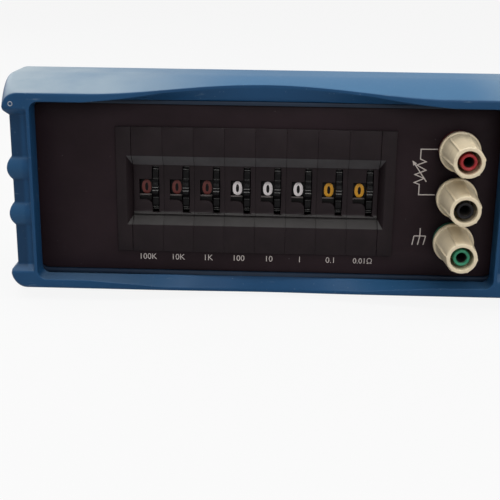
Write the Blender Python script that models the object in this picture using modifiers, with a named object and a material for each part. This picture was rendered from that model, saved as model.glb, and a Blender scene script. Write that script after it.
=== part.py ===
import math

import bmesh
import bpy
from mathutils import Matrix, Vector

# Every size is in metres. The design frame has its zero on the front face of the
# panel, midway between its edges: +X to the right, +Y into the box, +Z up.

# Fits
GAP = 0.0003                        # clearance between neighbouring pieces
OVERRUN = 0.004                     # how far a cutter runs past what it cuts

# Front and rear panels
PANEL_HALF_HEIGHT = 0.0349
PANEL_THICKNESS = 0.002
PANEL_CORNER = 0.004

# Case: an upper and a lower shell that hold both panels
CASE_WALL = 0.0015
CASE_RIM_PROUD = 0.0012             # the rim stands before the panel by this much
CASE_REAR_ROOM = 0.0044             # behind the switches, for the cards and the leads
REAR_PANEL_INSET = 0.0006
LEDGE_WIDTH = 0.0022                # inward rib that each panel rests against
LEDGE_THICKNESS = 0.0015
BOSS_RADIUS = 0.0034
BOSS_INSET = 0.0075                 # from the inside of the case's side wall
BOSS_FRONT = 0.012
BOSS_REAR_INSET = 0.0077            # from the rear panel

# Case screws, driven upwards from below
SCREW_RADIUS = 0.0014
SCREW_HEAD_RADIUS = 0.0024
SCREW_HEAD_HEIGHT = 0.0015
SCREW_ENGAGEMENT = 0.014            # thread in the upper boss

# Rubber boot around the case
BOOT_FRONT_REACH = 0.0112
BOOT_REAR_LIP = 0.0025              # the boot laps over the rear of the case by this much
BOOT_SIDE_WALL = 0.0078             # outside the case, at the front and rear edges
BOOT_TOP_WALL = 0.0036
BOOT_SIDE_FLARE = 0.0023            # extra half width at the ridge
BOOT_TOP_FLARE = 0.0056             # extra half height at the ridge
BOOT_FLAT_LENGTH = 0.018            # level part of the ridge
BOOT_EDGE_CORNER = 0.007
BOOT_RIDGE_CORNER = 0.0034
BOOT_EDGE_ROUND = 0.0011
LIP_SIDE_LAP = 0.0032               # the lip laps over the case's sides by this much
LIP_TOP_CLEARANCE = 0.0001          # it leaves the case's top and bottom free
LIP_OPENING_CORNER = 0.0035
LIP_BEAD_WIDTH = 0.0014
SCALLOP_HALF_WIDTH = 0.073
SCALLOP_DEPTH = 0.0097
CREASE_RAMP = 0.031                 # the crease climbs from the inner edge over this width
CREASE_STRIP = 0.0013               # front face left outside the crease
LIP_ROOT_SETBACK = 0.0016           # the lip's inner edge drops behind the rim in the middle
SIDE_RECESS_DEPTH = 0.0021          # below the front edge's half width
SIDE_RECESS_HALF_HEIGHT = 0.031
SIDE_SETBACK = 0.003                # the side's front face behind the lip's
GRIP_RIB_SPACING = 0.019
GRIP_RIB_HALF_HEIGHT = 0.0048
GRIP_RIB_PROUD = 0.0018
GRIP_RIB_ROOT = 0.007               # how deep a rib starts inside the side wall

# Thumbwheel switch bank
MODULE_COUNT = 8
MODULE_PITCH = 0.0127
BANK_MARGIN = 0.03362               # from the panel's left edge to the bank
BANK_TO_TERMINALS = 0.0248          # from the bank to the terminals' axes
BANK_HALF_HEIGHT = 0.02622
CHEEK_WIDTH = 0.00628               # an end cheek's flange beside the modules
CHEEK_BODY_WIDTH = 0.0041
BANK_PROUD = 0.0012
BANK_BODY_HALF_HEIGHT = 0.024
HOUSING_DEPTH = 0.038
RECESS_DEPTH = 0.00486
RECESS_TOP = 0.00955
RECESS_BOTTOM = 0.01144
BEVEL_TOP = 0.0145
BEVEL_BOTTOM = 0.0149
BEVEL_SIDE = 0.0023
FLOOR_CURL_RADIUS = 0.0016
FLOOR_CURL_SWEEP = math.radians(70)
FLOOR_GROOVE_DEPTH = 0.0014
FLOOR_GROOVE_HEIGHT = 0.00034
WINDOW_LEFT = 0.0024                # from the module's left edge
WINDOW_TOP = 0.0036
WINDOW_BOTTOM = 0.0052
WINDOW_CORNER = 0.0026              # round of the housing where window and slot meet

# Thumbwheel: a toothed rim beside a drum that carries the numbers
AXLE_DEPTH = 0.0178                 # behind the bank's front face
AXLE_DROP = 0.0002
AXLE_RADIUS = 0.0016
WHEEL_POSITIONS = 10
WHEEL_RADIUS = 0.0146
TOOTH_GROOVE = 0.0005
TOOTH_VALLEY = 0.0014
RIM_LEFT = 0.00795                  # from the module's left edge
RIM_WIDTH = 0.0025
DRUM_RADIUS = 0.0105
DRUM_WIDTH = 0.0056
WHEEL_RUNNING_GAP = 0.0005

# Resistor card behind each module
CARD_THICKNESS = 0.0012
CARD_HALF_HEIGHT = 0.016
CARD_SEAT_DEPTH = 0.003
CARD_LENGTH = 0.0052
CARD_LEFT = 0.0054                  # from the module's left edge

# Tie rods that hold the bank together
ROD_RADIUS = 0.0012
ROD_DEPTH = 0.027
ROD_INSET = 0.0035                  # from the top and bottom of the switch bodies
ROD_OVERHANG = 0.0022               # past the body of each end cheek

# Terminals: heights run from the panel's face towards the user
TERMINAL_MARGIN = 0.01762           # from the terminals' axes to the panel's right edge
TERMINAL_SPACING = 0.01905
TERMINAL_DROP = 0.0004
BASE_RADIUS = 0.0082
BASE_HEIGHT = 0.003
BASE_STEM_RADIUS = 0.0052
BASE_STEM_TAIL = 0.0015             # stem past the rear of the panel
POST_THREAD_RADIUS = 0.0039
POST_THREAD_HEIGHT = 0.0112
POST_TAIL = 0.015                   # behind the panel's face
POST_TUBE_RADIUS = 0.0025
POST_TUBE_HEIGHT = 0.0234
POST_BORE_RADIUS = 0.002
POST_BORE_FLOOR = 0.009
SLEEVE_RADIUS = 0.00345
SLEEVE_LIP = 0.0008
WASHER_RADIUS = 0.0069
WASHER_THICKNESS = 0.0009
KNOB_HEIGHT = 0.0257
KNOB_FLANGE_RADIUS = 0.0083
KNOB_FLANGE_THICKNESS = 0.0019
KNOB_FLANGE_ROUND = 0.0005
KNOB_ROOT_RADIUS = 0.0073
KNOB_NOSE_RADIUS = 0.00605
KNOB_NOSE_ROUND = 0.0004
KNOB_RIB_COUNT = 6
KNOB_RIB_PROUD = 0.0005
KNOB_MOUTH_RADIUS = 0.00455
KNOB_SEAT_HEIGHT = 0.0105
NUT_ACROSS_FLATS = 0.0125
NUT_THICKNESS = 0.0035

# Internal leads
LEAD_RADIUS = 0.0007
LEAD_REAR_CLEARANCE = 0.0012        # between a lead and the rear panel
LEAD_SLACK = 0.003

# Facets
CORNER_STEPS = 4
ROUND_STEPS = 18
BORE_STEPS = 14
SCREW_STEPS = 10
SMALL_STEPS = 8
LOBE_STEPS = 5                      # round each of a knob's ribs
SCALLOP_STEPS = 16
RIB_STEPS = 6
CURL_STEPS = 3

# Values that follow from the sizes above
BANK_FRONT_Y = -BANK_PROUD
AXLE_Y = BANK_FRONT_Y + AXLE_DEPTH
AXLE_Z = -TERMINAL_DROP - AXLE_DROP
BANK_Z = -TERMINAL_DROP
ROD_RISE = BANK_BODY_HALF_HEIGHT - ROD_INSET
BANK_HALF_WIDTH = MODULE_COUNT * MODULE_PITCH / 2 + CHEEK_WIDTH
BANK_BODY_HALF_WIDTH = MODULE_COUNT * MODULE_PITCH / 2 + CHEEK_BODY_WIDTH
PANEL_HALF_WIDTH = (BANK_MARGIN + BANK_TO_TERMINALS + TERMINAL_MARGIN) / 2 + BANK_HALF_WIDTH
TERMINAL_X = PANEL_HALF_WIDTH - TERMINAL_MARGIN
BANK_CENTRE_X = TERMINAL_X - BANK_TO_TERMINALS - BANK_HALF_WIDTH
CASE_INNER_HALF_WIDTH = PANEL_HALF_WIDTH + GAP
CASE_INNER_HALF_HEIGHT = PANEL_HALF_HEIGHT + GAP
CASE_OUTER_HALF_WIDTH = CASE_INNER_HALF_WIDTH + CASE_WALL
CASE_OUTER_HALF_HEIGHT = CASE_INNER_HALF_HEIGHT + CASE_WALL
CARD_REAR_Y = BANK_FRONT_Y + HOUSING_DEPTH - CARD_SEAT_DEPTH + GAP + CARD_LENGTH
REAR_PANEL_FRONT = CARD_REAR_Y + CASE_REAR_ROOM
REAR_PANEL_BACK = REAR_PANEL_FRONT + PANEL_THICKNESS
CASE_REAR_REACH = REAR_PANEL_BACK + REAR_PANEL_INSET
BOSS_REAR = REAR_PANEL_FRONT - BOSS_REAR_INSET
BOOT_REAR_REACH = CASE_REAR_REACH + BOOT_REAR_LIP
BOOT_EDGE_HALF_WIDTH = CASE_OUTER_HALF_WIDTH + BOOT_SIDE_WALL
BOOT_EDGE_HALF_HEIGHT = CASE_OUTER_HALF_HEIGHT + BOOT_TOP_WALL
LIP_OPENING_HALF_WIDTH = CASE_OUTER_HALF_WIDTH - LIP_SIDE_LAP
LIP_OPENING_HALF_HEIGHT = CASE_OUTER_HALF_HEIGHT + LIP_TOP_CLEARANCE
BOOT_LENGTH = BOOT_FRONT_REACH + BOOT_REAR_REACH
RIDGE_Y = (BOOT_REAR_REACH - BOOT_FRONT_REACH) / 2
BOOT_HALF_HEIGHT = BOOT_EDGE_HALF_HEIGHT + BOOT_TOP_FLARE
WHEEL_CAVITY_RADIUS = WHEEL_RADIUS + WHEEL_RUNNING_GAP
DRUM_CAVITY_RADIUS = DRUM_RADIUS + WHEEL_RUNNING_GAP
WHEEL_BORE_RADIUS = AXLE_RADIUS + GAP
DRUM_LEFT = RIM_LEFT - DRUM_WIDTH
SLEEVE_TOP = POST_TUBE_HEIGHT + GAP + SLEEVE_LIP

# The object's origin is the centre of its base, so the design frame is lifted and shifted
FRAME_LOCATION = (0, (KNOB_HEIGHT - BOOT_REAR_REACH) / 2, BOOT_HALF_HEIGHT)


def clear_scene():
    for item in list(bpy.data.objects):
        bpy.data.objects.remove(item, do_unlink=True)


def new_collection(name):
    collection = bpy.data.collections.new(name)
    bpy.context.scene.collection.children.link(collection)
    return collection


def new_material(name, colour, roughness, metallic=0.0):
    material = bpy.data.materials.new(name)
    material.use_nodes = True
    shader = material.node_tree.nodes["Principled BSDF"]
    shader.inputs["Base Color"].default_value = (*colour, 1.0)
    shader.inputs["Roughness"].default_value = roughness
    shader.inputs["Metallic"].default_value = metallic
    return material


def new_empty(name, location=(0, 0, 0), rotation=(0, 0, 0), parent=None):
    empty = bpy.data.objects.new(name, None)
    empty.location = location
    empty.rotation_euler = rotation
    empty.parent = parent
    parts.objects.link(empty)
    return empty


def new_object(name, mesh, collection, parent=None, location=(0, 0, 0), rotation=(0, 0, 0)):
    item = bpy.data.objects.new(name, mesh)
    item.location = location
    item.rotation_euler = rotation
    item.parent = parent
    collection.objects.link(item)
    return item


def as_cutter(item):
    for collection in list(item.users_collection):
        collection.objects.unlink(item)
    cutters.objects.link(item)
    item.hide_render = True
    item.display_type = "WIRE"
    return item


def evaluated_mesh(item):
    bpy.context.view_layer.update()
    graph = bpy.context.evaluated_depsgraph_get()
    mesh = bpy.data.meshes.new_from_object(item.evaluated_get(graph))
    return mesh


def finish(item, material, smooth_angle=None):
    item.data.materials.clear()
    item.data.materials.append(material)
    if smooth_angle is not None:
        item.data.shade_smooth()
        item.data.set_sharp_from_angle(angle=math.radians(smooth_angle))
    return item


# Planes for a flat outline: columns are where its X, its Y and its thickness point
FRONT_PLANE = Matrix(((1, 0, 0), (0, 0, -1), (0, 1, 0)))
SIDE_PLANE = Matrix(((0, 0, 1), (1, 0, 0), (0, 1, 0)))
TOP_PLANE = Matrix.Identity(3)


def prism(name, outlines, start, end, plane, parent=None):
    """Extrude closed flat outlines between two distances along the plane's normal."""
    curve = bpy.data.curves.new(name, "CURVE")
    curve.dimensions = "2D"
    curve.fill_mode = "BOTH"
    curve.extrude = (end - start) / 2
    for outline in outlines:
        spline = curve.splines.new("POLY")
        spline.points.add(len(outline) - 1)
        for point, (across, up) in zip(spline.points, outline):
            point.co = (across, up, 0, 1)
        spline.use_cyclic_u = True
    flat = bpy.data.objects.new(name, curve)
    parts.objects.link(flat)
    mesh = evaluated_mesh(flat)
    bpy.data.objects.remove(flat, do_unlink=True)
    shape = bmesh.new()
    shape.from_mesh(mesh)
    bmesh.ops.remove_doubles(shape, verts=shape.verts, dist=GAP / 100)
    middle = (start + end) / 2 * sum(plane.col[2])
    for vertex in shape.verts:
        vertex.co = plane @ Vector((vertex.co.x, vertex.co.y, vertex.co.z + middle))
    bmesh.ops.recalc_face_normals(shape, faces=shape.faces)
    shape.to_mesh(mesh)
    shape.free()
    return new_object(name, mesh, parts, parent)


def rounded_rectangle(half_width, half_height, radius, steps=CORNER_STEPS):
    points = []
    for turn in range(4):
        side_x = 1 if turn in (0, 3) else -1
        side_y = 1 if turn in (0, 1) else -1
        for step in range(steps + 1):
            angle = (turn + step / steps) * math.pi / 2
            points.append((side_x * (half_width - radius) + radius * math.cos(angle),
                           side_y * (half_height - radius) + radius * math.sin(angle)))
    return points


def rectangle(left, right, bottom, top):
    return [(left, bottom), (right, bottom), (right, top), (left, top)]


def circle(radius, steps, centre=(0, 0), phase_share=0.0):
    points = []
    for step in range(steps):
        angle = (step + phase_share) * math.tau / steps
        points.append((centre[0] + radius * math.cos(angle), centre[1] + radius * math.sin(angle)))
    return points


def turned(name, profile, steps, parent=None, closed=True):
    """Turn a profile of (radius, height) points about the local Z axis."""
    mesh = bpy.data.meshes.new(name)
    vertices = [(radius, 0, height) for radius, height in profile]
    edges = [(index, index + 1) for index in range(len(profile) - 1)]
    if closed:
        edges.append((len(profile) - 1, 0))
    mesh.from_pydata(vertices, edges, [])
    item = new_object(name, mesh, parts, parent)
    screw = item.modifiers.new("turn", "SCREW")
    screw.axis = "Z"
    screw.steps = steps
    screw.render_steps = steps
    screw.use_merge_vertices = True
    screw.merge_threshold = GAP / 100
    item.data = evaluated_mesh(item)
    item.modifiers.clear()
    return item


def loft(name, rings, parent=None, closed=False):
    """Join rings of equally many points; a closed loft runs back into its first ring."""
    shape = bmesh.new()
    rows = [[shape.verts.new(point) for point in ring] for ring in rings]
    pairs = list(zip(rows, rows[1:]))
    if closed:
        pairs.append((rows[-1], rows[0]))
    for first, second in pairs:
        for index in range(len(first)):
            after = (index + 1) % len(first)
            shape.faces.new((first[index], first[after], second[after], second[index]))
    if not closed:
        shape.faces.new(list(reversed(rows[0])))
        shape.faces.new(rows[-1])
    bmesh.ops.recalc_face_normals(shape, faces=shape.faces)
    mesh = bpy.data.meshes.new(name)
    shape.to_mesh(mesh)
    shape.free()
    return new_object(name, mesh, parts, parent)


def block(name, low, high, parent=None):
    """A box between two corners, from a cube."""
    shape = bmesh.new()
    bmesh.ops.create_cube(shape, size=1.0)
    size = [top - bottom for bottom, top in zip(low, high)]
    centre = [(top + bottom) / 2 for bottom, top in zip(low, high)]
    for vertex in shape.verts:
        vertex.co = [middle + share * length for middle, share, length in zip(centre, vertex.co, size)]
    mesh = bpy.data.meshes.new(name)
    shape.to_mesh(mesh)
    shape.free()
    return new_object(name, mesh, parts, parent)


def combine(target, tool, operation):
    as_cutter(tool)
    change = target.modifiers.new(tool.name, "BOOLEAN")
    change.operation = operation
    change.solver = "EXACT"
    change.object = tool
    return target


def cut(target, tool):
    return combine(target, tool, "DIFFERENCE")


def join(target, tool):
    return combine(target, tool, "UNION")


def settle(item):
    """Keep what the modifiers make as a plain mesh and drop their tools."""
    mesh = evaluated_mesh(item)
    tools = [change.object for change in item.modifiers if change.type == "BOOLEAN"]
    item.modifiers.clear()
    for tool in tools:
        bpy.data.objects.remove(tool, do_unlink=True)
    return mesh


def make_front_panel():
    holes = [rectangle(BANK_CENTRE_X - BANK_BODY_HALF_WIDTH - GAP, BANK_CENTRE_X + BANK_BODY_HALF_WIDTH + GAP,
                       BANK_Z - BANK_BODY_HALF_HEIGHT - GAP, BANK_Z + BANK_BODY_HALF_HEIGHT + GAP)]
    for row in (1, 0, -1):
        centre = (TERMINAL_X, row * TERMINAL_SPACING - TERMINAL_DROP)
        holes.append(circle(BASE_STEM_RADIUS + GAP, BORE_STEPS, centre))
    edge = rounded_rectangle(PANEL_HALF_WIDTH, PANEL_HALF_HEIGHT, PANEL_CORNER)
    panel = prism("front_panel", [edge] + holes, 0, PANEL_THICKNESS, FRONT_PLANE, frame)
    finish(panel, panel_paint)


def make_rear_panel():
    edge = rounded_rectangle(PANEL_HALF_WIDTH, PANEL_HALF_HEIGHT, PANEL_CORNER)
    panel = prism("rear_panel", [edge], REAR_PANEL_FRONT, REAR_PANEL_BACK, FRONT_PLANE, frame)
    finish(panel, panel_paint)


def case_ledge(name, start):
    root = CASE_WALL / 2
    outer = rounded_rectangle(CASE_INNER_HALF_WIDTH + root, CASE_INNER_HALF_HEIGHT + root,
                              PANEL_CORNER + root)
    inner = rounded_rectangle(CASE_INNER_HALF_WIDTH - LEDGE_WIDTH, CASE_INNER_HALF_HEIGHT - LEDGE_WIDTH,
                              PANEL_CORNER / 2)
    return prism(name, [outer, inner], start, start + LEDGE_THICKNESS, FRONT_PLANE, frame)


def boss_places():
    across = CASE_INNER_HALF_WIDTH - BOSS_INSET
    return [(side * across, depth) for side in (-1, 1) for depth in (BOSS_FRONT, BOSS_REAR)]


def make_case_shell(name, upper):
    side = 1 if upper else -1
    outer = rounded_rectangle(CASE_OUTER_HALF_WIDTH, CASE_OUTER_HALF_HEIGHT, PANEL_CORNER + CASE_WALL)
    inner = rounded_rectangle(CASE_INNER_HALF_WIDTH, CASE_INNER_HALF_HEIGHT, PANEL_CORNER)
    shell = prism(name, [outer, inner], -CASE_RIM_PROUD, CASE_REAR_REACH, FRONT_PLANE, frame)
    join(shell, case_ledge(name + "_front_ledge", PANEL_THICKNESS + GAP))
    join(shell, case_ledge(name + "_rear_ledge", REAR_PANEL_FRONT - GAP - LEDGE_THICKNESS))
    wall_middle = side * (CASE_INNER_HALF_HEIGHT + CASE_WALL / 2)
    for number, (across, depth) in enumerate(boss_places()):
        low, high = sorted((side * GAP / 2, wall_middle))
        boss = prism(f"{name}_boss_{number}", [circle(BOSS_RADIUS, SCREW_STEPS, (across, depth))],
                     low, high, TOP_PLANE, frame)
        join(shell, boss)
    far = CASE_OUTER_HALF_WIDTH + OVERRUN
    low, high = sorted((side * GAP / 2, -side * (CASE_OUTER_HALF_HEIGHT + OVERRUN)))
    cut(shell, block(name + "_split", (-far, -far, low), (far, far, high), frame))
    for number, (across, depth) in enumerate(boss_places()):
        if upper:
            low, high = 0, SCREW_ENGAGEMENT + 2 * GAP
        else:
            low, high = -CASE_OUTER_HALF_HEIGHT - OVERRUN, 0
        hole = circle(SCREW_RADIUS + GAP, SCREW_STEPS, (across, depth))
        cut(shell, prism(f"{name}_hole_{number}", [hole], low - OVERRUN * upper, high + OVERRUN * (not upper),
                         TOP_PLANE, frame))
        if not upper:
            seat = circle(SCREW_HEAD_RADIUS + GAP, SCREW_STEPS, (across, depth))
            cut(shell, prism(f"{name}_seat_{number}", [seat], low, screw_head_top() + GAP, TOP_PLANE, frame))
    finish(shell, case_plastic)


def screw_head_top():
    return -CASE_OUTER_HALF_HEIGHT + GAP + SCREW_HEAD_HEIGHT


def make_case_screws():
    bottom = -CASE_OUTER_HALF_HEIGHT + GAP
    shank_top = SCREW_ENGAGEMENT
    profile = [(0, shank_top), (SCREW_RADIUS, shank_top), (SCREW_RADIUS, screw_head_top()),
               (SCREW_HEAD_RADIUS, screw_head_top()), (SCREW_HEAD_RADIUS, bottom), (0, bottom)]
    pattern = turned("case_screw", profile, SCREW_STEPS, closed=False)
    mesh = pattern.data
    bpy.data.objects.remove(pattern, do_unlink=True)
    for number, (across, depth) in enumerate(boss_places(), 1):
        screw = new_object(f"case_screw_{number}", mesh, parts, frame, (across, depth, 0))
        finish(screw, steel, 40)


def flare_share(depth):
    """One on the level ridge, falling to zero at the boot's front and rear edges."""
    away = abs(depth - RIDGE_Y) - BOOT_FLAT_LENGTH / 2
    slope_length = (BOOT_LENGTH - BOOT_FLAT_LENGTH) / 2
    return 1 - max(0.0, away / slope_length) ** 1.5


def boot_section(depth, inset):
    share = flare_share(depth)
    half_width = BOOT_EDGE_HALF_WIDTH + BOOT_SIDE_FLARE * share - inset
    half_height = BOOT_EDGE_HALF_HEIGHT + BOOT_TOP_FLARE * share - inset
    radius = BOOT_EDGE_CORNER + (BOOT_RIDGE_CORNER - BOOT_EDGE_CORNER) * share - inset
    return [(across, depth, up) for across, up in rounded_rectangle(half_width, half_height, radius)]


def scallop_rings(side):
    """Cutter for one long lip. Its front edge follows a raised cosine, and its inner face tilts
    towards the middle, from the lip's root to a crease that climbs to the outer edge."""
    front = -BOOT_FRONT_REACH
    past = front - OVERRUN
    rings = []
    for step in range(SCALLOP_STEPS + 1):
        share = 2 * step / SCALLOP_STEPS - 1
        drop = (1 + math.cos(math.pi * share)) / 2
        face = front + SCALLOP_DEPTH * drop - GAP / 10
        root = -CASE_RIM_PROUD - 2 * GAP + LIP_ROOT_SETBACK * drop
        climb = min(1.0, SCALLOP_HALF_WIDTH * (1 - abs(share)) / CREASE_RAMP)
        outside = BOOT_EDGE_HALF_HEIGHT + BOOT_TOP_FLARE * flare_share(face)
        rise = outside - CREASE_STRIP - LIP_OPENING_HALF_HEIGHT
        inside = LIP_OPENING_HALF_HEIGHT - GAP / 10
        near = LIP_OPENING_HALF_HEIGHT - OVERRUN
        far = BOOT_HALF_HEIGHT + OVERRUN
        ring = [(root, near), (root, inside), (face, inside + rise * climb),
                (face, far), (past, far), (past, near)]
        rings.append([(share * SCALLOP_HALF_WIDTH, depth, side * up) for depth, up in ring])
    return rings


def grip_rib(name, side, height):
    """Rib whose side and front both bulge along a circular arc over its height."""
    arc_radius = (GRIP_RIB_HALF_HEIGHT ** 2 + GRIP_RIB_PROUD ** 2) / (2 * GRIP_RIB_PROUD)
    plane_x = BOOT_EDGE_HALF_WIDTH - SIDE_RECESS_DEPTH
    front = -BOOT_FRONT_REACH + SIDE_SETBACK
    rear = BOOT_REAR_REACH - SIDE_SETBACK
    inner = plane_x - GRIP_RIB_ROOT
    rings = []
    for step in range(RIB_STEPS + 1):
        up = GRIP_RIB_HALF_HEIGHT * (2 * step / RIB_STEPS - 1)
        bulge = math.sqrt(arc_radius ** 2 - up ** 2) - (arc_radius - GRIP_RIB_PROUD) - GAP / 3
        outer = plane_x + bulge
        round_off = GRIP_RIB_PROUD
        ring = [(inner, front - bulge), (outer - round_off, front - bulge),
                (outer, front - bulge + round_off), (outer, rear + bulge - round_off),
                (outer - round_off, rear + bulge), (inner, rear + bulge)]
        rings.append([(side * across, depth, height + up) for across, depth in ring])
    return loft(name, rings, frame)


def make_boot():
    front, rear = -BOOT_FRONT_REACH, BOOT_REAR_REACH
    slope_end = (BOOT_LENGTH - BOOT_FLAT_LENGTH) / 2
    stations = [(front, BOOT_EDGE_ROUND), (front + BOOT_EDGE_ROUND, 0)]
    slope_shares = (0.35, 0.7, 1.0)
    for share in slope_shares:
        stations.append((front + share * slope_end, 0))
    for share in reversed(slope_shares):
        stations.append((rear - share * slope_end, 0))
    stations += [(rear - BOOT_EDGE_ROUND, 0), (rear, BOOT_EDGE_ROUND)]
    boot = loft("protective_boot", [boot_section(depth, inset) for depth, inset in stations], frame)

    opening = rounded_rectangle(LIP_OPENING_HALF_WIDTH, LIP_OPENING_HALF_HEIGHT, LIP_OPENING_CORNER)
    cut(boot, prism("boot_opening", [opening], front - OVERRUN, rear + OVERRUN, FRONT_PLANE, frame))

    recess_x = BOOT_EDGE_HALF_WIDTH - SIDE_RECESS_DEPTH
    far_x = BOOT_EDGE_HALF_WIDTH + BOOT_SIDE_FLARE + OVERRUN
    ramp = far_x - recess_x
    bead_x = LIP_OPENING_HALF_WIDTH + LIP_BEAD_WIDTH
    reach = SIDE_SETBACK + OVERRUN
    for side, word in ((-1, "left"), (1, "right")):
        low_z, high_z = -SIDE_RECESS_HALF_HEIGHT, SIDE_RECESS_HALF_HEIGHT
        recess = [(side * recess_x, low_z), (side * recess_x, high_z),
                  (side * far_x, high_z + ramp), (side * far_x, low_z - ramp)]
        cut(boot, prism(f"{word}_side_recess", [recess], front - OVERRUN, rear + OVERRUN, FRONT_PLANE, frame))
        low_x, high_x = sorted((side * bead_x, side * far_x))
        setback = [(front + SIDE_SETBACK, low_z), (front + SIDE_SETBACK, high_z),
                   (front - OVERRUN, high_z + reach), (front - OVERRUN, low_z - reach)]
        cut(boot, prism(f"{word}_setback", [setback], low_x, high_x, SIDE_PLANE, frame))
        for row in (-1, 1):
            join(boot, grip_rib(f"{word}_rib_{row + 1}", side, row * GRIP_RIB_SPACING / 2))

    half_width = CASE_OUTER_HALF_WIDTH + GAP
    half_height = CASE_OUTER_HALF_HEIGHT + GAP
    cavity = rounded_rectangle(half_width, half_height, PANEL_CORNER + CASE_WALL + GAP)
    cut(boot, prism("boot_cavity", [cavity], -CASE_RIM_PROUD - GAP, CASE_REAR_REACH + GAP,
                    FRONT_PLANE, frame))
    cut(boot, loft("upper_scallop", scallop_rings(1), frame))
    cut(boot, loft("lower_scallop", scallop_rings(-1), frame))
    finish(boot, blue_rubber)


def housing_outline():
    """Side outline of a switch housing, as (depth, height) from the wheel's axle."""
    front = -AXLE_DEPTH
    flange_back = front + BANK_PROUD - GAP
    back = front + HOUSING_DEPTH
    rise = AXLE_DROP
    floor = front + RECESS_DEPTH
    curl_z = rise - RECESS_BOTTOM + FLOOR_GROOVE_HEIGHT + FLOOR_CURL_RADIUS
    points = [(front, rise + BANK_HALF_HEIGHT), (flange_back, rise + BANK_HALF_HEIGHT),
              (flange_back, rise + BANK_BODY_HALF_HEIGHT), (back, rise + BANK_BODY_HALF_HEIGHT),
              (back, rise - BANK_BODY_HALF_HEIGHT), (flange_back, rise - BANK_BODY_HALF_HEIGHT),
              (flange_back, rise - BANK_HALF_HEIGHT), (front, rise - BANK_HALF_HEIGHT),
              (front, rise - BEVEL_BOTTOM), (floor, rise - RECESS_BOTTOM),
              (floor + FLOOR_GROOVE_DEPTH, rise - RECESS_BOTTOM),
              (floor + FLOOR_GROOVE_DEPTH, rise - RECESS_BOTTOM + FLOOR_GROOVE_HEIGHT)]
    curl_y = floor - FLOOR_CURL_RADIUS
    tip_y = curl_y + FLOOR_CURL_RADIUS * math.cos(FLOOR_CURL_SWEEP)
    points.append((tip_y, rise - RECESS_BOTTOM + FLOOR_GROOVE_HEIGHT))
    for step in range(CURL_STEPS, -1, -1):
        angle = FLOOR_CURL_SWEEP * step / CURL_STEPS
        points.append((curl_y + FLOOR_CURL_RADIUS * math.cos(angle),
                       curl_z - FLOOR_CURL_RADIUS * math.sin(angle)))
    points += [(floor, rise + RECESS_TOP), (front, rise + BEVEL_TOP)]
    return points


def opening_outline():
    """Number window and wheel slot in one, with a rounded inner corner between them."""
    half_width = MODULE_PITCH / 2
    left = RIM_LEFT - half_width - GAP / 2
    right = RIM_LEFT + RIM_WIDTH - half_width + GAP / 2
    top = AXLE_DROP + RECESS_TOP - GAP
    bottom = AXLE_DROP - RECESS_BOTTOM + FLOOR_CURL_RADIUS / 2
    window_left = WINDOW_LEFT - half_width
    window_bottom = AXLE_DROP - WINDOW_BOTTOM
    points = [(left, top), (left, AXLE_DROP + WINDOW_TOP), (window_left, AXLE_DROP + WINDOW_TOP),
              (window_left, window_bottom)]
    for step in range(CURL_STEPS + 1):
        angle = math.pi / 2 * (1 - step / CURL_STEPS)
        points.append((left + WINDOW_CORNER * (math.cos(angle) - 1),
                       window_bottom + WINDOW_CORNER * (math.sin(angle) - 1)))
    return points + [(left, bottom), (right, bottom), (right, top)]


def make_switch_modules():
    half_width = MODULE_PITCH / 2
    outlines = [housing_outline()]
    for rise in (-ROD_RISE, ROD_RISE):
        centre = (ROD_DEPTH - AXLE_DEPTH, rise + AXLE_DROP)
        outlines.append(circle(ROD_RADIUS + GAP, SMALL_STEPS, centre))
    housing = prism("housing", outlines, -half_width + GAP / 2, half_width - GAP / 2, SIDE_PLANE)
    drum_left = DRUM_LEFT - half_width
    rim_left = RIM_LEFT - half_width
    rim_right = rim_left + RIM_WIDTH
    side_gap = GAP
    cavity = turned("wheel_cavity", [
        (AXLE_RADIUS, rim_right + side_gap), (WHEEL_CAVITY_RADIUS, rim_right + side_gap),
        (WHEEL_CAVITY_RADIUS, rim_left - side_gap), (DRUM_CAVITY_RADIUS, rim_left - side_gap),
        (DRUM_CAVITY_RADIUS, drum_left - side_gap), (AXLE_RADIUS, drum_left - side_gap)], ROUND_STEPS)
    cavity.rotation_euler = (0, math.pi / 2, 0)
    cut(housing, cavity)
    front = -AXLE_DEPTH
    slot_end = front + RECESS_DEPTH + 2 * FLOOR_CURL_RADIUS
    cut(housing, prism("wheel_opening", [opening_outline()], front - OVERRUN, slot_end + side_gap,
                       FRONT_PLANE))
    card_left = CARD_LEFT - half_width
    groove_front = front + HOUSING_DEPTH - CARD_SEAT_DEPTH
    cut(housing, block("card_groove", (card_left - GAP, groove_front, AXLE_DROP - CARD_HALF_HEIGHT - GAP),
                       (card_left + CARD_THICKNESS + GAP, front + HOUSING_DEPTH + OVERRUN,
                        AXLE_DROP + CARD_HALF_HEIGHT + GAP)))
    mesh = settle(housing)
    bpy.data.objects.remove(housing, do_unlink=True)
    for number in range(1, MODULE_COUNT + 1):
        module = new_object(f"switch_module_{number}", mesh, parts, axles[number])
        finish(module, module_plastic)


def wheel_outline():
    """Ten teeth, each with a groove along its crown, and hollows for the fingertip between."""
    tooth_shares = ((-0.5, 1.0), (-0.17, 0.0), (-0.05, 0.0), (0.0, None), (0.05, 0.0), (0.17, 0.0))
    points = []
    for tooth in range(WHEEL_POSITIONS):
        for turn_share, drop_share in tooth_shares:
            angle = math.pi + (tooth + turn_share) * math.tau / WHEEL_POSITIONS
            radius = WHEEL_RADIUS - (TOOTH_GROOVE if drop_share is None else drop_share * TOOTH_VALLEY)
            points.append((radius * math.cos(angle), radius * math.sin(angle)))
    return points


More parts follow.
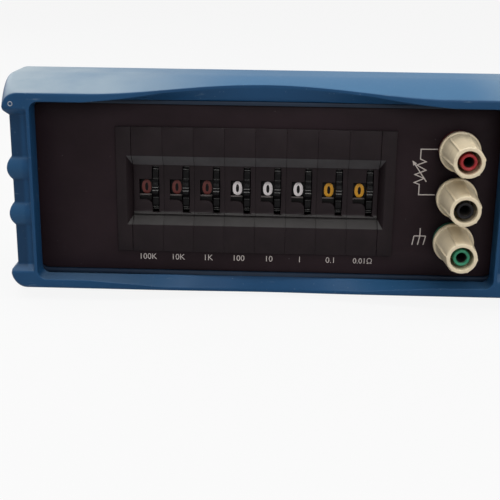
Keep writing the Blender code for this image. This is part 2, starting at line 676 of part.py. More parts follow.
def make_thumbwheels():
    half_width = MODULE_PITCH / 2
    rim_left = RIM_LEFT - half_width
    drum_left = DRUM_LEFT - half_width
    rim = prism("rim", [wheel_outline()], rim_left, rim_left + RIM_WIDTH, SIDE_PLANE)
    drum_outline = circle(DRUM_RADIUS, 2 * WHEEL_POSITIONS, phase_share=0.5)
    join(rim, prism("drum", [drum_outline], drum_left, rim_left + RIM_WIDTH / 2, SIDE_PLANE))
    bore = circle(WHEEL_BORE_RADIUS, SMALL_STEPS)
    cut(rim, prism("bore", [bore], drum_left - OVERRUN, rim_left + RIM_WIDTH + OVERRUN, SIDE_PLANE))
    mesh = settle(rim)
    bpy.data.objects.remove(rim, do_unlink=True)
    for number in range(1, MODULE_COUNT + 1):
        wheel = new_object(f"thumbwheel_{number}", mesh, parts, axles[number])
        finish(wheel, wheel_plastic)


def make_resistor_cards():
    left = CARD_LEFT - MODULE_PITCH / 2
    seat = -AXLE_DEPTH + HOUSING_DEPTH - CARD_SEAT_DEPTH + GAP
    card = block("card", (left, seat, AXLE_DROP - CARD_HALF_HEIGHT),
                 (left + CARD_THICKNESS, seat + CARD_LENGTH, AXLE_DROP + CARD_HALF_HEIGHT))
    mesh = card.data
    bpy.data.objects.remove(card, do_unlink=True)
    for number in range(1, MODULE_COUNT + 1):
        board = new_object(f"resistor_card_{number}", mesh, parts, axles[number])
        finish(board, card_laminate)


def make_end_cheek(name, side):
    inner = MODULE_COUNT * MODULE_PITCH / 2 + GAP / 2
    low_x, high_x = sorted((side * inner, side * BANK_HALF_WIDTH))
    flange_back = BANK_PROUD - GAP
    cheek = block(name, (low_x, 0, -BANK_HALF_HEIGHT), (high_x, flange_back, BANK_HALF_HEIGHT), bank)
    low_x, high_x = sorted((side * inner, side * BANK_BODY_HALF_WIDTH))
    join(cheek, block(name + "_body", (low_x, flange_back / 2, -BANK_BODY_HALF_HEIGHT),
                      (high_x, HOUSING_DEPTH, BANK_BODY_HALF_HEIGHT), bank))
    inner_x = MODULE_COUNT * MODULE_PITCH / 2
    mouth = [(-inner_x - BEVEL_SIDE, 0, -BEVEL_BOTTOM), (inner_x + BEVEL_SIDE, 0, -BEVEL_BOTTOM),
             (inner_x + BEVEL_SIDE, 0, BEVEL_TOP), (-inner_x - BEVEL_SIDE, 0, BEVEL_TOP)]
    floor = [(-inner_x, RECESS_DEPTH, -RECESS_BOTTOM), (inner_x, RECESS_DEPTH, -RECESS_BOTTOM),
             (inner_x, RECESS_DEPTH, RECESS_TOP), (-inner_x, RECESS_DEPTH, RECESS_TOP)]
    run_share = OVERRUN / RECESS_DEPTH
    before = [tuple(a + (a - b) * run_share for a, b in zip(first, second))
              for first, second in zip(mouth, floor)]
    cut(cheek, loft(name + "_mitre", [before, floor], bank))
    for word, rise in (("lower", -ROD_RISE), ("upper", ROD_RISE)):
        hole = circle(ROD_RADIUS + GAP, SMALL_STEPS, (ROD_DEPTH, rise))
        cut(cheek, prism(f"{name}_{word}_hole", [hole], low_x - OVERRUN, high_x + OVERRUN, SIDE_PLANE, bank))
    finish(cheek, module_plastic)


def make_tie_rod(name, rise):
    reach = BANK_BODY_HALF_WIDTH + ROD_OVERHANG
    rod = prism(name, [circle(ROD_RADIUS, SMALL_STEPS, (ROD_DEPTH, rise))], -reach, reach, SIDE_PLANE, bank)
    finish(rod, steel, 60)


def base_profile():
    tail = -PANEL_THICKNESS - BASE_STEM_TAIL
    bore = POST_THREAD_RADIUS + GAP
    edge = GAP
    return [(bore, BASE_HEIGHT), (BASE_RADIUS - edge, BASE_HEIGHT), (BASE_RADIUS, BASE_HEIGHT - edge),
            (BASE_RADIUS, GAP), (BASE_STEM_RADIUS, GAP), (BASE_STEM_RADIUS, tail), (bore, tail)]


def post_profile():
    return [(0, POST_BORE_FLOOR), (POST_BORE_RADIUS, POST_BORE_FLOOR), (POST_BORE_RADIUS, POST_TUBE_HEIGHT),
            (POST_TUBE_RADIUS, POST_TUBE_HEIGHT), (POST_TUBE_RADIUS, POST_THREAD_HEIGHT),
            (POST_THREAD_RADIUS, POST_THREAD_HEIGHT), (POST_THREAD_RADIUS, -POST_TAIL), (0, -POST_TAIL)]


def sleeve_profile():
    bore = POST_TUBE_RADIUS + GAP
    foot = POST_THREAD_HEIGHT + GAP
    return [(POST_BORE_RADIUS, SLEEVE_TOP), (SLEEVE_RADIUS - GAP, SLEEVE_TOP),
            (SLEEVE_RADIUS, SLEEVE_TOP - GAP), (SLEEVE_RADIUS, foot), (bore, foot),
            (bore, SLEEVE_TOP - SLEEVE_LIP), (POST_BORE_RADIUS, SLEEVE_TOP - SLEEVE_LIP)]


def washer_profile():
    foot = BASE_HEIGHT + GAP
    bore = POST_THREAD_RADIUS + GAP
    return [(bore, foot + WASHER_THICKNESS), (WASHER_RADIUS, foot + WASHER_THICKNESS), (WASHER_RADIUS, foot),
            (bore, foot)]


def nut_outline():
    return circle(NUT_ACROSS_FLATS / 2 / math.cos(math.pi / 6), 6)


def knob_rings():
    """Rings from the flange over the ribbed taper to the nose, and back through the mouth."""
    foot = BASE_HEIGHT + GAP
    flange_top = foot + KNOB_FLANGE_THICKNESS
    seat = BASE_HEIGHT + GAP + WASHER_THICKNESS + GAP
    thread = POST_THREAD_RADIUS + GAP
    recess = WASHER_RADIUS + GAP
    taper_start = flange_top + KNOB_FLANGE_ROUND
    taper_end = KNOB_HEIGHT - KNOB_NOSE_ROUND
    outside = [(recess, foot, 0), (KNOB_FLANGE_RADIUS, foot, 0), (KNOB_FLANGE_RADIUS, flange_top, 0),
               (KNOB_FLANGE_RADIUS - KNOB_FLANGE_ROUND, taper_start, 0), (KNOB_ROOT_RADIUS, taper_start, 1),
               (KNOB_NOSE_RADIUS, taper_end, 1), (KNOB_NOSE_RADIUS - KNOB_NOSE_ROUND, KNOB_HEIGHT, 1)]
    inside = [(KNOB_MOUTH_RADIUS, KNOB_HEIGHT, 0), (KNOB_MOUTH_RADIUS, KNOB_SEAT_HEIGHT, 0),
              (thread, KNOB_SEAT_HEIGHT, 0), (thread, seat, 0), (recess, seat, 0)]
    rings = []
    count = KNOB_RIB_COUNT * LOBE_STEPS
    for radius, height, ribbed in outside + inside:
        ring = []
        for step in range(count):
            angle = step * math.tau / count
            crest = max(0.0, math.cos(KNOB_RIB_COUNT * angle)) ** 3 * KNOB_RIB_PROUD * ribbed
            reach = radius + crest
            ring.append((reach * math.cos(angle), reach * math.sin(angle), height))
        rings.append(ring)
    return rings


def make_terminals():
    patterns = {
        "base": turned("base", base_profile(), ROUND_STEPS),
        "post": turned("post", post_profile(), BORE_STEPS, closed=False),
        "sleeve": turned("sleeve", sleeve_profile(), BORE_STEPS),
        "washer": turned("washer", washer_profile(), BORE_STEPS),
        "knob": loft("knob", knob_rings(), closed=True),
        "nut": prism("nut", [nut_outline(), circle(POST_THREAD_RADIUS + GAP, BORE_STEPS)],
                     -PANEL_THICKNESS - BASE_STEM_TAIL - GAP - NUT_THICKNESS,
                     -PANEL_THICKNESS - BASE_STEM_TAIL - GAP, TOP_PLANE)}
    finishes = {"base": None, "post": brass, "sleeve": None, "washer": steel, "knob": cream_plastic,
                "nut": steel}
    rows = (("red", 1, red_plastic), ("black", 0, black_plastic), ("green", -1, green_plastic))
    for colour, row, tint in rows:
        place = (TERMINAL_X, 0, row * TERMINAL_SPACING - TERMINAL_DROP)
        axis = new_empty(f"{colour}_terminal_axis", place, (math.pi / 2, 0, 0), frame)
        for piece, pattern in patterns.items():
            item = new_object(f"{colour}_terminal_{piece}", pattern.data.copy(), parts, axis)
            finish(item, finishes[piece] or tint, 40)
    for pattern in patterns.values():
        bpy.data.objects.remove(pattern, do_unlink=True)


def make_lead(name, places, material):
    curve = bpy.data.curves.new(name, "CURVE")
    curve.dimensions = "3D"
    curve.bevel_depth = LEAD_RADIUS
    curve.bevel_resolution = 1
    curve.use_fill_caps = True
    spline = curve.splines.new("POLY")
    spline.points.add(len(places) - 1)
    for point, place in zip(spline.points, places):
        point.co = (*place, 1)
    item = new_object(name, curve, parts, frame)
    mesh = evaluated_mesh(item)
    bpy.data.objects.remove(item, do_unlink=True)
    shape = bmesh.new()
    shape.from_mesh(mesh)
    bmesh.ops.remove_doubles(shape, verts=shape.verts, dist=GAP / 100)
    bmesh.ops.recalc_face_normals(shape, faces=shape.faces)
    shape.to_mesh(mesh)
    shape.free()
    lead = new_object(name, mesh, parts, frame)
    finish(lead, material, 60)


def card_end(number):
    """Rear edge of a resistor card, at its middle."""
    left = BANK_CENTRE_X + (number - 1 - MODULE_COUNT / 2) * MODULE_PITCH + CARD_LEFT
    return left + CARD_THICKNESS / 2, CARD_REAR_Y


def make_leads():
    behind = REAR_PANEL_FRONT - LEAD_REAR_CLEARANCE - LEAD_RADIUS
    tail = POST_TAIL + GAP

    up = TERMINAL_SPACING - TERMINAL_DROP
    card_x, card_y = card_end(MODULE_COUNT)
    card_z = BANK_Z + CARD_HALF_HEIGHT / 2
    make_lead("red_lead", [
        (TERMINAL_X, tail, up), (TERMINAL_X, behind - LEAD_SLACK, up),
        (TERMINAL_X - LEAD_SLACK, behind, up), (card_x + LEAD_SLACK, behind, card_z),
        (card_x, behind - GAP, card_z), (card_x, card_y + GAP, card_z)], red_plastic)

    up = -TERMINAL_DROP
    side_x = card_x + 3 * LEAD_SLACK
    run_y = behind - LEAD_SLACK
    low_z = BANK_Z - CARD_HALF_HEIGHT - LEAD_SLACK
    card_x, card_y = card_end(1)
    card_z = BANK_Z - CARD_HALF_HEIGHT / 2
    make_lead("black_lead", [
        (TERMINAL_X, tail, up), (TERMINAL_X, run_y - LEAD_SLACK, up),
        (TERMINAL_X - LEAD_SLACK, run_y, up), (side_x + LEAD_SLACK, run_y, up),
        (side_x, run_y, up - LEAD_SLACK), (side_x, run_y, low_z + LEAD_SLACK),
        (side_x - LEAD_SLACK, run_y, low_z), (card_x + LEAD_SLACK, run_y, low_z),
        (card_x, behind, low_z + LEAD_SLACK), (card_x, behind, card_z - LEAD_SLACK),
        (card_x, behind - GAP, card_z), (card_x, card_y + GAP, card_z)], black_plastic)

    up = -TERMINAL_SPACING - TERMINAL_DROP
    across = TERMINAL_X - NUT_ACROSS_FLATS
    make_lead("earth_lead", [
        (TERMINAL_X, tail, up), (TERMINAL_X, tail + LEAD_SLACK, up),
        (TERMINAL_X - LEAD_SLACK, tail + 2 * LEAD_SLACK, up),
        (across + LEAD_SLACK, tail + 2 * LEAD_SLACK, up),
        (across, tail + LEAD_SLACK, up), (across, PANEL_THICKNESS + GAP, up)], green_plastic)


clear_scene()
parts = new_collection("decade_resistance_box")
cutters = new_collection("cutters")

panel_paint = new_material("panel_paint", (0.028, 0.025, 0.027), 0.55)
case_plastic = new_material("case_plastic", (0.09, 0.16, 0.27), 0.5)
blue_rubber = new_material("blue_rubber", (0.10, 0.22, 0.36), 0.62)
module_plastic = new_material("module_plastic", (0.022, 0.022, 0.024), 0.5)
wheel_plastic = new_material("wheel_plastic", (0.012, 0.012, 0.013), 0.35)
card_laminate = new_material("card_laminate", (0.05, 0.24, 0.10), 0.5)
cream_plastic = new_material("cream_plastic", (0.74, 0.64, 0.48), 0.4)
red_plastic = new_material("red_plastic", (0.50, 0.03, 0.03), 0.4)
black_plastic = new_material("black_plastic", (0.02, 0.02, 0.02), 0.4)
green_plastic = new_material("green_plastic", (0.03, 0.32, 0.16), 0.4)
brass = new_material("brass", (0.62, 0.50, 0.28), 0.3, 1.0)
steel = new_material("steel", (0.55, 0.55, 0.56), 0.35, 1.0)

frame = new_empty("box_frame", FRAME_LOCATION)
bank = new_empty("switch_bank", (BANK_CENTRE_X, BANK_FRONT_Y, BANK_Z), parent=frame)
axles = {}
for module_number in range(1, MODULE_COUNT + 1):
    module_x = BANK_CENTRE_X + (module_number - (MODULE_COUNT + 1) / 2) * MODULE_PITCH
    axles[module_number] = new_empty(f"wheel_axle_{module_number}", (module_x, AXLE_Y, AXLE_Z), parent=frame)

make_front_panel()
make_rear_panel()
make_case_shell("case_top_shell", True)
make_case_shell("case_bottom_shell", False)
make_case_screws()
make_boot()
make_switch_modules()
make_thumbwheels()
make_resistor_cards()
make_end_cheek("switch_end_cheek_left", -1)
make_end_cheek("switch_end_cheek_right", 1)
make_tie_rod("switch_tie_rod_upper", ROD_RISE)
make_tie_rod("switch_tie_rod_lower", -ROD_RISE)
make_terminals()
make_leads()
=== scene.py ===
import math

import bmesh
import bpy
import numpy as np
from mathutils import Matrix, Vector


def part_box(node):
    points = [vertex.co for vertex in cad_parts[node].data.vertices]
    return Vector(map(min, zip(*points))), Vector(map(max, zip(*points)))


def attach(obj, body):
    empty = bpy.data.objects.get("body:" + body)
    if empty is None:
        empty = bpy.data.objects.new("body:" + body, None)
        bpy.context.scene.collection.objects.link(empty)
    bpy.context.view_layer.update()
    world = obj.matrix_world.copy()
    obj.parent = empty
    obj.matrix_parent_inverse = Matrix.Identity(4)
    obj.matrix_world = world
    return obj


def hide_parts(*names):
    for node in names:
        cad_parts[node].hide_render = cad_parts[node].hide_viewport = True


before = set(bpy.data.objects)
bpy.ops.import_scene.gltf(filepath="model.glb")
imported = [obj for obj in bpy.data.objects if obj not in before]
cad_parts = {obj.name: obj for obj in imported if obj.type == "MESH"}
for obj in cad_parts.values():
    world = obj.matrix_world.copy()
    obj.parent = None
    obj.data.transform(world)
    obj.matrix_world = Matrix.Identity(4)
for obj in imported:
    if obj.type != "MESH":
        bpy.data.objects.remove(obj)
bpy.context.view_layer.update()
print("frame loaded:", len(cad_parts), "nodes")

mm = 0.001
mergeGap = 0.0005 * mm  # grid points nearer than this are joined
letterMerge = 0.0001    # the same for letters, as a share of their size
cornerShare = 0.45      # how far a rounded corner may reach towards the next control point
panelLow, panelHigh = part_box("front_panel")
boxZero = np.array([(panelLow.x + panelHigh.x) / 2, panelLow.y, (panelLow.z + panelHigh.z) / 2])


def place(points):  # millimetres from the middle of the panel's face, to metres in the shared frame
    return points * mm + boxZero


def gridFaces(rows, cols, wrapRows, wrapCols):  # each point with its next ones down and across
    down = np.arange(rows if wrapRows else rows - 1)
    across = np.arange(cols if wrapCols else cols - 1)
    down, across = np.meshgrid(down, across, indexing="ij")
    nextDown, nextAcross = (down + 1) % rows, (across + 1) % cols
    corners = [down * cols + across, down * cols + nextAcross,
               nextDown * cols + nextAcross, nextDown * cols + across]
    return np.stack(corners, -1).reshape(-1, 4)


def signedVolume(points, faces):
    # a sixth of the sum of each triangle's triple product; above zero where the faces point outwards
    first, second, third, fourth = (points[faces[:, k]] for k in range(4))
    return (np.einsum("ij,ij->i", first, np.cross(second, third))
            + np.einsum("ij,ij->i", first, np.cross(third, fourth))).sum() / 6


def meshFromGrid(name, grid, wrapRows, wrapCols):  # closed mesh with its faces pointing out
    rows, cols = grid.shape[:2]
    points = place(grid.reshape(-1, 3))
    faces = gridFaces(rows, cols, wrapRows, wrapCols)
    if signedVolume(points - points.mean(0), faces) < 0:
        faces = faces[:, ::-1]
    mesh = bpy.data.meshes.new(name)
    mesh.from_pydata(points.tolist(), [], faces.tolist())
    shape = bmesh.new()
    shape.from_mesh(mesh)
    bmesh.ops.remove_doubles(shape, verts=shape.verts, dist=mergeGap)
    bmesh.ops.dissolve_degenerate(shape, edges=shape.edges, dist=mergeGap)
    shape.to_mesh(mesh)
    shape.free()
    return mesh


def inScene(name, data):
    item = bpy.data.objects.new(name, data)
    bpy.context.scene.collection.objects.link(item)
    return item


def addPiece(name, mesh, material, body="root", stands=(), slot=None, sharpAngle=40):
    piece = inScene(name, mesh)
    mesh.materials.clear()
    mesh.materials.append(material)
    mesh.shade_smooth()
    mesh.set_sharp_from_angle(angle=math.radians(sharpAngle))
    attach(piece, body)
    if stands:
        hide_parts(*stands)


def addGrid(name, grid, material, wrapRows=True, wrapCols=True, **where):
    addPiece(name, meshFromGrid(name, grid, wrapRows, wrapCols), material, **where)


def softCorners(points, sizes, steps, closed=True):
    # rows of control points whose corners become quadratic curves, (1-t)(1-t) start + 2t(1-t) point +
    # t t end: each starts and ends at its size from the point, or at cornerShare of the way to the
    # next one where that is nearer
    count = len(points)
    rows = []
    for index in range(count):
        here = points[index]
        if sizes[index] <= 0 or (not closed and index in (0, count - 1)):
            rows.append(here)
            continue
        reach = []
        for other in (points[index - 1], points[(index + 1) % count]):
            gap = other - here
            length = np.linalg.norm(gap, axis=-1, keepdims=True) + 1e-9
            reach.append(here + gap / length * np.minimum(sizes[index], cornerShare * length))
        for t in np.linspace(0, 1, steps):
            rows.append((1 - t) ** 2 * reach[0] + 2 * t * (1 - t) * here + t * t * reach[1])
    return np.stack(rows)


def fullTurn(count):
    return np.linspace(0, math.tau, count, endpoint=False)


def aroundAxis(radius, depth, angle, centre):  # x = r cos a, y = depth, z = r sin a
    return np.stack([centre[0] + radius * np.cos(angle), depth + 0 * angle,
                     centre[1] + radius * np.sin(angle)], -1)


def turnedGrid(profile, centre, count, face=0.0):
    # (radius, height) carried round an axis that points at the user, at the depth face - height
    return aroundAxis(profile[:, :1], face - profile[:, 1:2], fullTurn(count), centre)


def smoothStep(low, high, value):  # 3ss - 2sss of the share s between low and high
    share = np.clip((value - low) / (high - low), 0, 1)
    return share * share * (3 - 2 * share)


class Wire:  # a shader socket that takes part in sums
    def __init__(self, sketch, socket):
        self.sketch, self.socket = sketch, socket

    def work(self, operation, other=0.0, swapped=False):
        first, second = (other, self) if swapped else (self, other)
        return self.sketch.add("ShaderNodeMath", {"operation": operation}, {0: first, 1: second})

    def __add__(self, other):
        return self.work("ADD", other)

    def __mul__(self, other):
        return self.work("MULTIPLY", other)

    def __sub__(self, other):
        return self.work("SUBTRACT", other)

    def __rsub__(self, other):
        return self.work("SUBTRACT", other, True)

    def __truediv__(self, other):
        return self.work("DIVIDE", other)

    def __mod__(self, other):  # always from zero up to the other
        return self.work("FLOORED_MODULO", other)

    def __abs__(self):
        return self.work("ABSOLUTE")

    __radd__, __rmul__ = __add__, __mul__

    def above(self, level, soft):  # 0 below the level, 1 above it, with a soft edge
        values = {"Value": self, "From Min": level - soft, "From Max": level + soft}
        return self.sketch.add("ShaderNodeMapRange", {"interpolation_type": "SMOOTHSTEP"}, values)


class NodeSet:  # the nodes of a material or of the world
    def __init__(self, tree):
        self.tree = tree

    def feed(self, socket, value):
        if isinstance(value, Wire):
            self.tree.links.new(value.socket, socket)
        else:
            socket.default_value = value

    def add(self, kind, settings=None, values=None, out=0):
        node = self.tree.nodes.new(kind)
        for key, value in (settings or {}).items():
            setattr(node, key, value)
        for key, value in (values or {}).items():
            self.feed(node.inputs[key], value)
        return Wire(self, node.outputs[out])


mixSockets = {"share": 0, "first": 6, "second": 7, "result": 2}  # of a Mix node that is set to colour


class Sketch(NodeSet):  # one material, its shader's fixed values and its nodes
    def __init__(self, name, **values):
        self.material = bpy.data.materials.new(name)
        self.material.use_nodes = True
        super().__init__(self.material.node_tree)
        self.surface = self.tree.nodes["Principled BSDF"]
        for key, value in values.items():
            self.surface.inputs[key].default_value = value
        self.here = self.add("ShaderNodeTexCoord", out="Object")
        self.normal = self.add("ShaderNodeTexCoord", out="Normal")

    def set(self, name, value):
        self.feed(self.surface.inputs[name], value)

    def stretched(self, x, y, z):  # the object's coordinates, drawn out along its axes
        return self.add("ShaderNodeMapping", values={"Vector": self.here, "Scale": (x, y, z)})

    def noise(self, size, detail=3.0, rough=0.5, vector=None):  # size of a blotch in millimetres
        values = {"Vector": vector or self.here, "Scale": 1000 / size, "Detail": detail,
                  "Roughness": rough}
        return self.add("ShaderNodeTexNoise", values=values, out="Fac")

    def specks(self, size, share, soft=0.02):  # round specks about one millimetre size apart
        values = {"Vector": self.here, "Scale": 1000 / size, "Randomness": 1.0}
        near = self.add("ShaderNodeTexVoronoi", values=values, out="Distance")
        return 1 - near.above(share, soft)

    def part(self, axis, vector):
        return self.add("ShaderNodeSeparateXYZ", values={"Vector": vector}, out=axis)

    def fromMiddle(self, axis):  # millimetres from the middle of the panel's face; Y runs into the box
        return (self.part(axis, self.here) - float(boxZero["XYZ".index(axis)])) / mm

    def blend(self, share, first, second):
        first, second = ((*c, 1.0) if isinstance(c, tuple) else c for c in (first, second))
        values = {mixSockets["share"]: share, mixSockets["first"]: first, mixSockets["second"]: second}
        return self.add("ShaderNodeMix", {"data_type": "RGBA"}, values, mixSockets["result"])

    def bump(self, height, distance, strength=1.0):  # distance in millimetres
        values = {"Height": height, "Distance": distance * mm, "Strength": strength}
        self.set("Normal", self.add("ShaderNodeBump", values=values))

    def moulded(self, size, swing, roughness, grainSize, deep):  # uneven roughness and a fine grain
        self.set("Roughness", self.noise(size, 4) * swing + roughness)
        self.bump(self.noise(grainSize, 3), deep, 0.5)
        return self.material


rubberLook = {  # colours, and sizes and places in millimetres
    "colour": (0.014, 0.070, 0.170), "deep": (0.011, 0.057, 0.140), "paintedLight": (0.075, 0.190, 0.335),
    "paintedSheen": (0.40, 0.47, 0.51), "wearAndHighlight": (0.20, 0.28, 0.36), "shaded": (0.005, 0.024, 0.060),
    "roughness": 0.40, "grain": 0.3, "grainSize": 1.3, "patchSize": 38, "paintedSheenSize": 30,
    "paintedLightFrom": 20, "leftSheenTo": -48, "rightSheenFrom": 94,
    "sideFrom": 98.0, "ribAt": 9.5, "ribHalf": 4.3, "hollowHalf": 32.0,
}


def rubberSkin():
    look = rubberLook
    skin = Sketch("blue rubber", **{"Specular IOR Level": 0.18})
    wide, fine = skin.noise(look["patchSize"], 4), skin.noise(look["grainSize"], 5, 0.6)
    tone = skin.blend(wide.above(0.5, 0.25), look["deep"], look["colour"])
    across, height = skin.fromMiddle("X"), skin.fromMiddle("Z")
    up = skin.part("Z", skin.normal).above(0.7, 0.25) * (height.above(look["paintedLightFrom"], 12) * 0.85 + 0.15)
    tone = skin.blend(up * (wide * 0.3 + 0.6), tone, look["paintedLight"])  # painted light: the upper faces are lighter where the light from above falls on them
    leftEnd = 1 - across.above(look["leftSheenTo"], 46)
    ends = leftEnd + across.above(look["rightSheenFrom"], 18) * 0.6  # painted sheen: a pale highlight on the upper faces at both ends
    paintedSheen = up * ends * (skin.noise(look["paintedSheenSize"], 4, 0.5).above(0.45, 0.3) * 0.6 + 0.4)
    tone = skin.blend(paintedSheen * 0.88, tone, look["paintedSheen"])
    side = abs(across).above(look["sideFrom"], 0.8) * (1 - abs(height).above(look["hollowHalf"], 1))
    offRib = abs(abs(height) - look["ribAt"]).above(look["ribHalf"], 0.9)  # painted shade lies between the ribs
    tone = skin.blend(side * offRib * 0.6, tone, look["shaded"])
    # painted highlight on the fronts of the ribs
    tone = skin.blend(side * (1 - offRib) * 0.12, tone, look["paintedLight"])
    streaks = skin.noise(5, 6, 0.7, skin.stretched(0.35, 1, 2.2)).above(0.66, 0.05)
    scuffed = streaks * skin.noise(22, 2).above(0.52, 0.08)
    dustAndSheen = skin.specks(2.6, 0.09, 0.05) * skin.noise(11, 2).above(0.5, 0.1)
    skin.set("Base Color", skin.blend(scuffed * 0.3 + dustAndSheen * 0.3, tone, look["wearAndHighlight"]))
    skin.set("Roughness", fine * 0.12 + scuffed * 0.1 + look["roughness"])
    skin.bump(fine * 0.6 + skin.noise(0.45, 2) * 0.4, 0.03, look["grain"])
    return skin.material


panelLook = {"colour": (0.0130, 0.0070, 0.0088), "warm": (0.0200, 0.0112, 0.0142),
             "dustAndSheen": (0.14, 0.13, 0.13), "patchSize": 30, "dustSize": 4.3, "bigDustSize": 9.5,
             "grainSize": 0.28}


def panelPaint():
    look = panelLook
    paint = Sketch("matt black paint", **{"Specular IOR Level": 0.12})
    tone = paint.blend(paint.noise(look["patchSize"], 4).above(0.5, 0.2), look["colour"], look["warm"])
    dustAndSheen = (paint.specks(look["dustSize"], 0.04, 0.02) * paint.noise(17, 2).above(0.52, 0.08)
            + paint.specks(look["bigDustSize"], 0.022, 0.008))
    paint.set("Base Color", paint.blend(dustAndSheen * 0.5, tone, look["dustAndSheen"]))
    return paint.moulded(2.2, 0.12, 0.5, look["grainSize"], 0.012)


moduleLook = {  # depths in millimetres; slopes between the two depths are painted lighter than flat faces, as sheen
    "name": "module moulding", "face": (0.0145, 0.0098, 0.0112), "near": -1.0, "far": 3.5,
    "dustAndSheen": (0.056, 0.053, 0.052), "paintedToneBelow": (0.078, 0.074, 0.077), "slope": 0.45,
}
# painted shade: the near-black face and the faces that look down stand for the shadow under the ledge; the
# pale faces that look up are a painted highlight
sillLook = {
    "name": "window sill moulding", "face": (0.0020, 0.0016, 0.0016), "near": 4.0, "far": 6.4,
    "dustAndSheen": (0.17, 0.15, 0.145), "paintedToneBelow": (0.002, 0.002, 0.002), "slope": 0.45,
}


def modulePlastic(look):  # painted light: one tone on the slopes that look up, and one on those that look down
    black = Sketch(look["name"], **{"Specular IOR Level": 0.12})
    depth = black.fromMiddle("Y")
    between = depth.above(look["near"], 0.12) * (1 - depth.above(look["far"], 0.1))
    rise = black.part("Z", black.normal)
    paintedSlopes = between * abs(rise).above(look["slope"], 0.1)
    cloud = black.noise(9, 5, 0.6).above(0.5, 0.22)
    tone = black.blend(cloud, look["face"], tuple(c * 1.3 for c in look["face"]))
    paintedSlopeTone = black.blend(rise.above(0, 0.05), look["paintedToneBelow"], look["dustAndSheen"])
    black.set("Base Color", black.blend(paintedSlopes * (cloud * 0.25 + 0.75), tone, paintedSlopeTone))
    return black.moulded(1.6, 0.16, 0.38, 0.3, 0.01)


wheelLook = {"colour": (0.0045, 0.0040, 0.0045), "wearAndHighlight": (0.33, 0.33, 0.32),
             "crownEdge": 2.5, "line": 0.34, "rimInside": 12.6}  # two angles in degrees, and a radius


def wheelPlastic(axleY, axleZ, step):  # painted highlights: pale lines beside each crown's groove and in each valley
    look = wheelLook
    black = Sketch("wheel moulding", **{"Specular IOR Level": 0.12})
    back, up = black.fromMiddle("Y") - axleY, black.fromMiddle("Z") - axleZ
    radius = (back * back + up * up).work("SQRT")
    turn = up.work("ARCTAN2", 0 - back) * math.degrees(1)
    away = abs((turn / step + 0.5) % 1 - 0.5) * step
    crown = 1 - abs(away - look["crownEdge"]).above(look["line"], 0.3)
    valley = 1 - abs(away - step / 2).above(look["line"], 0.4)
    wearAndHighlight = (crown + valley * 0.35) * radius.above(look["rimInside"], 0.2)
    patchy = black.noise(0.9, 3).above(0.42, 0.15) * 0.5 + 0.5
    black.set("Base Color", black.blend(wearAndHighlight * patchy, look["colour"], look["wearAndHighlight"]))
    black.set("Roughness", black.noise(1.6, 4) * 0.14 + wearAndHighlight * 0.2 + 0.32)
    black.bump(black.noise(0.5, 3), 0.006, 0.3)
    return black.material


caseLook = {"colour": (0.006, 0.015, 0.032), "pale": (0.008, 0.020, 0.042), "roughness": 0.45}


def casePlastic():
    case = Sketch("case moulding", **{"Specular IOR Level": 0.3})
    patches = case.noise(14, 4).above(0.5, 0.2)
    case.set("Base Color", case.blend(patches, caseLook["colour"], caseLook["pale"]))
    return case.moulded(1.1, 0.15, caseLook["roughness"], 0.35, 0.015)


glossLook = {  # colour, grime, roughness, coat and specular level of each moulded terminal colour
    "cream moulding": ((0.86, 0.73, 0.51), (0.42, 0.28, 0.15), 0.34, 0.35, 0.5),
    "red moulding": ((0.37, 0.022, 0.026), (0.12, 0.01, 0.01), 0.38, 0.12, 0.3),
    # the two darker copies paint the shade that each knob casts on its base
    "shaded red moulding": ((0.17, 0.010, 0.012), (0.05, 0.005, 0.005), 0.4, 0.1, 0.5),
    "black moulding": ((0.0060, 0.0052, 0.0070), (0.02, 0.018, 0.017), 0.42, 0.05, 0.2),
    "green moulding": ((0.035, 0.26, 0.145), (0.01, 0.08, 0.04), 0.38, 0.12, 0.3),
    "shaded green moulding": ((0.020, 0.125, 0.075), (0.006, 0.04, 0.02), 0.4, 0.1, 0.5),
}


def gloss(name):
    colour, grimeColour, roughness, coat, mirror = glossLook[name]
    plastic = Sketch(name, **{"Coat Roughness": 0.2, "Specular IOR Level": mirror})
    mottle = plastic.noise(6, 4).above(0.5, 0.25)
    grime = plastic.noise(2.4, 5, 0.65).above(0.63, 0.06)
    tone = plastic.blend(mottle, colour, tuple(0.9 * c for c in colour))
    plastic.set("Base Color", plastic.blend(grime * 0.25, tone, grimeColour))
    plastic.set("Roughness", plastic.noise(1.2, 3) * 0.1 + grime * 0.12 + (roughness - 0.05))
    plastic.set("Coat Weight", coat - grime * (coat * 0.6))
    plastic.bump(plastic.noise(0.7, 3), 0.01, 0.4)
    return plastic.material


def metal(name, colour, dark, roughness):  # brushed, with tarnish in spots
    bare = Sketch(name, Metallic=1.0)
    brushed = bare.noise(1.5, 5, 0.6)
    tarnish = bare.noise(3.5, 4).above(0.58, 0.12)
    bare.set("Base Color", bare.blend(tarnish * 0.6, colour, dark))
    bare.set("Roughness", brushed * 0.2 + tarnish * 0.15 + (roughness - 0.1))
    bare.bump(brushed, 0.004, 0.5)
    return bare.material


brassLook = {"metal": (0.60, 0.46, 0.24), "tarnish": (0.22, 0.15, 0.07), "inside": (0.012, 0.010, 0.009)}


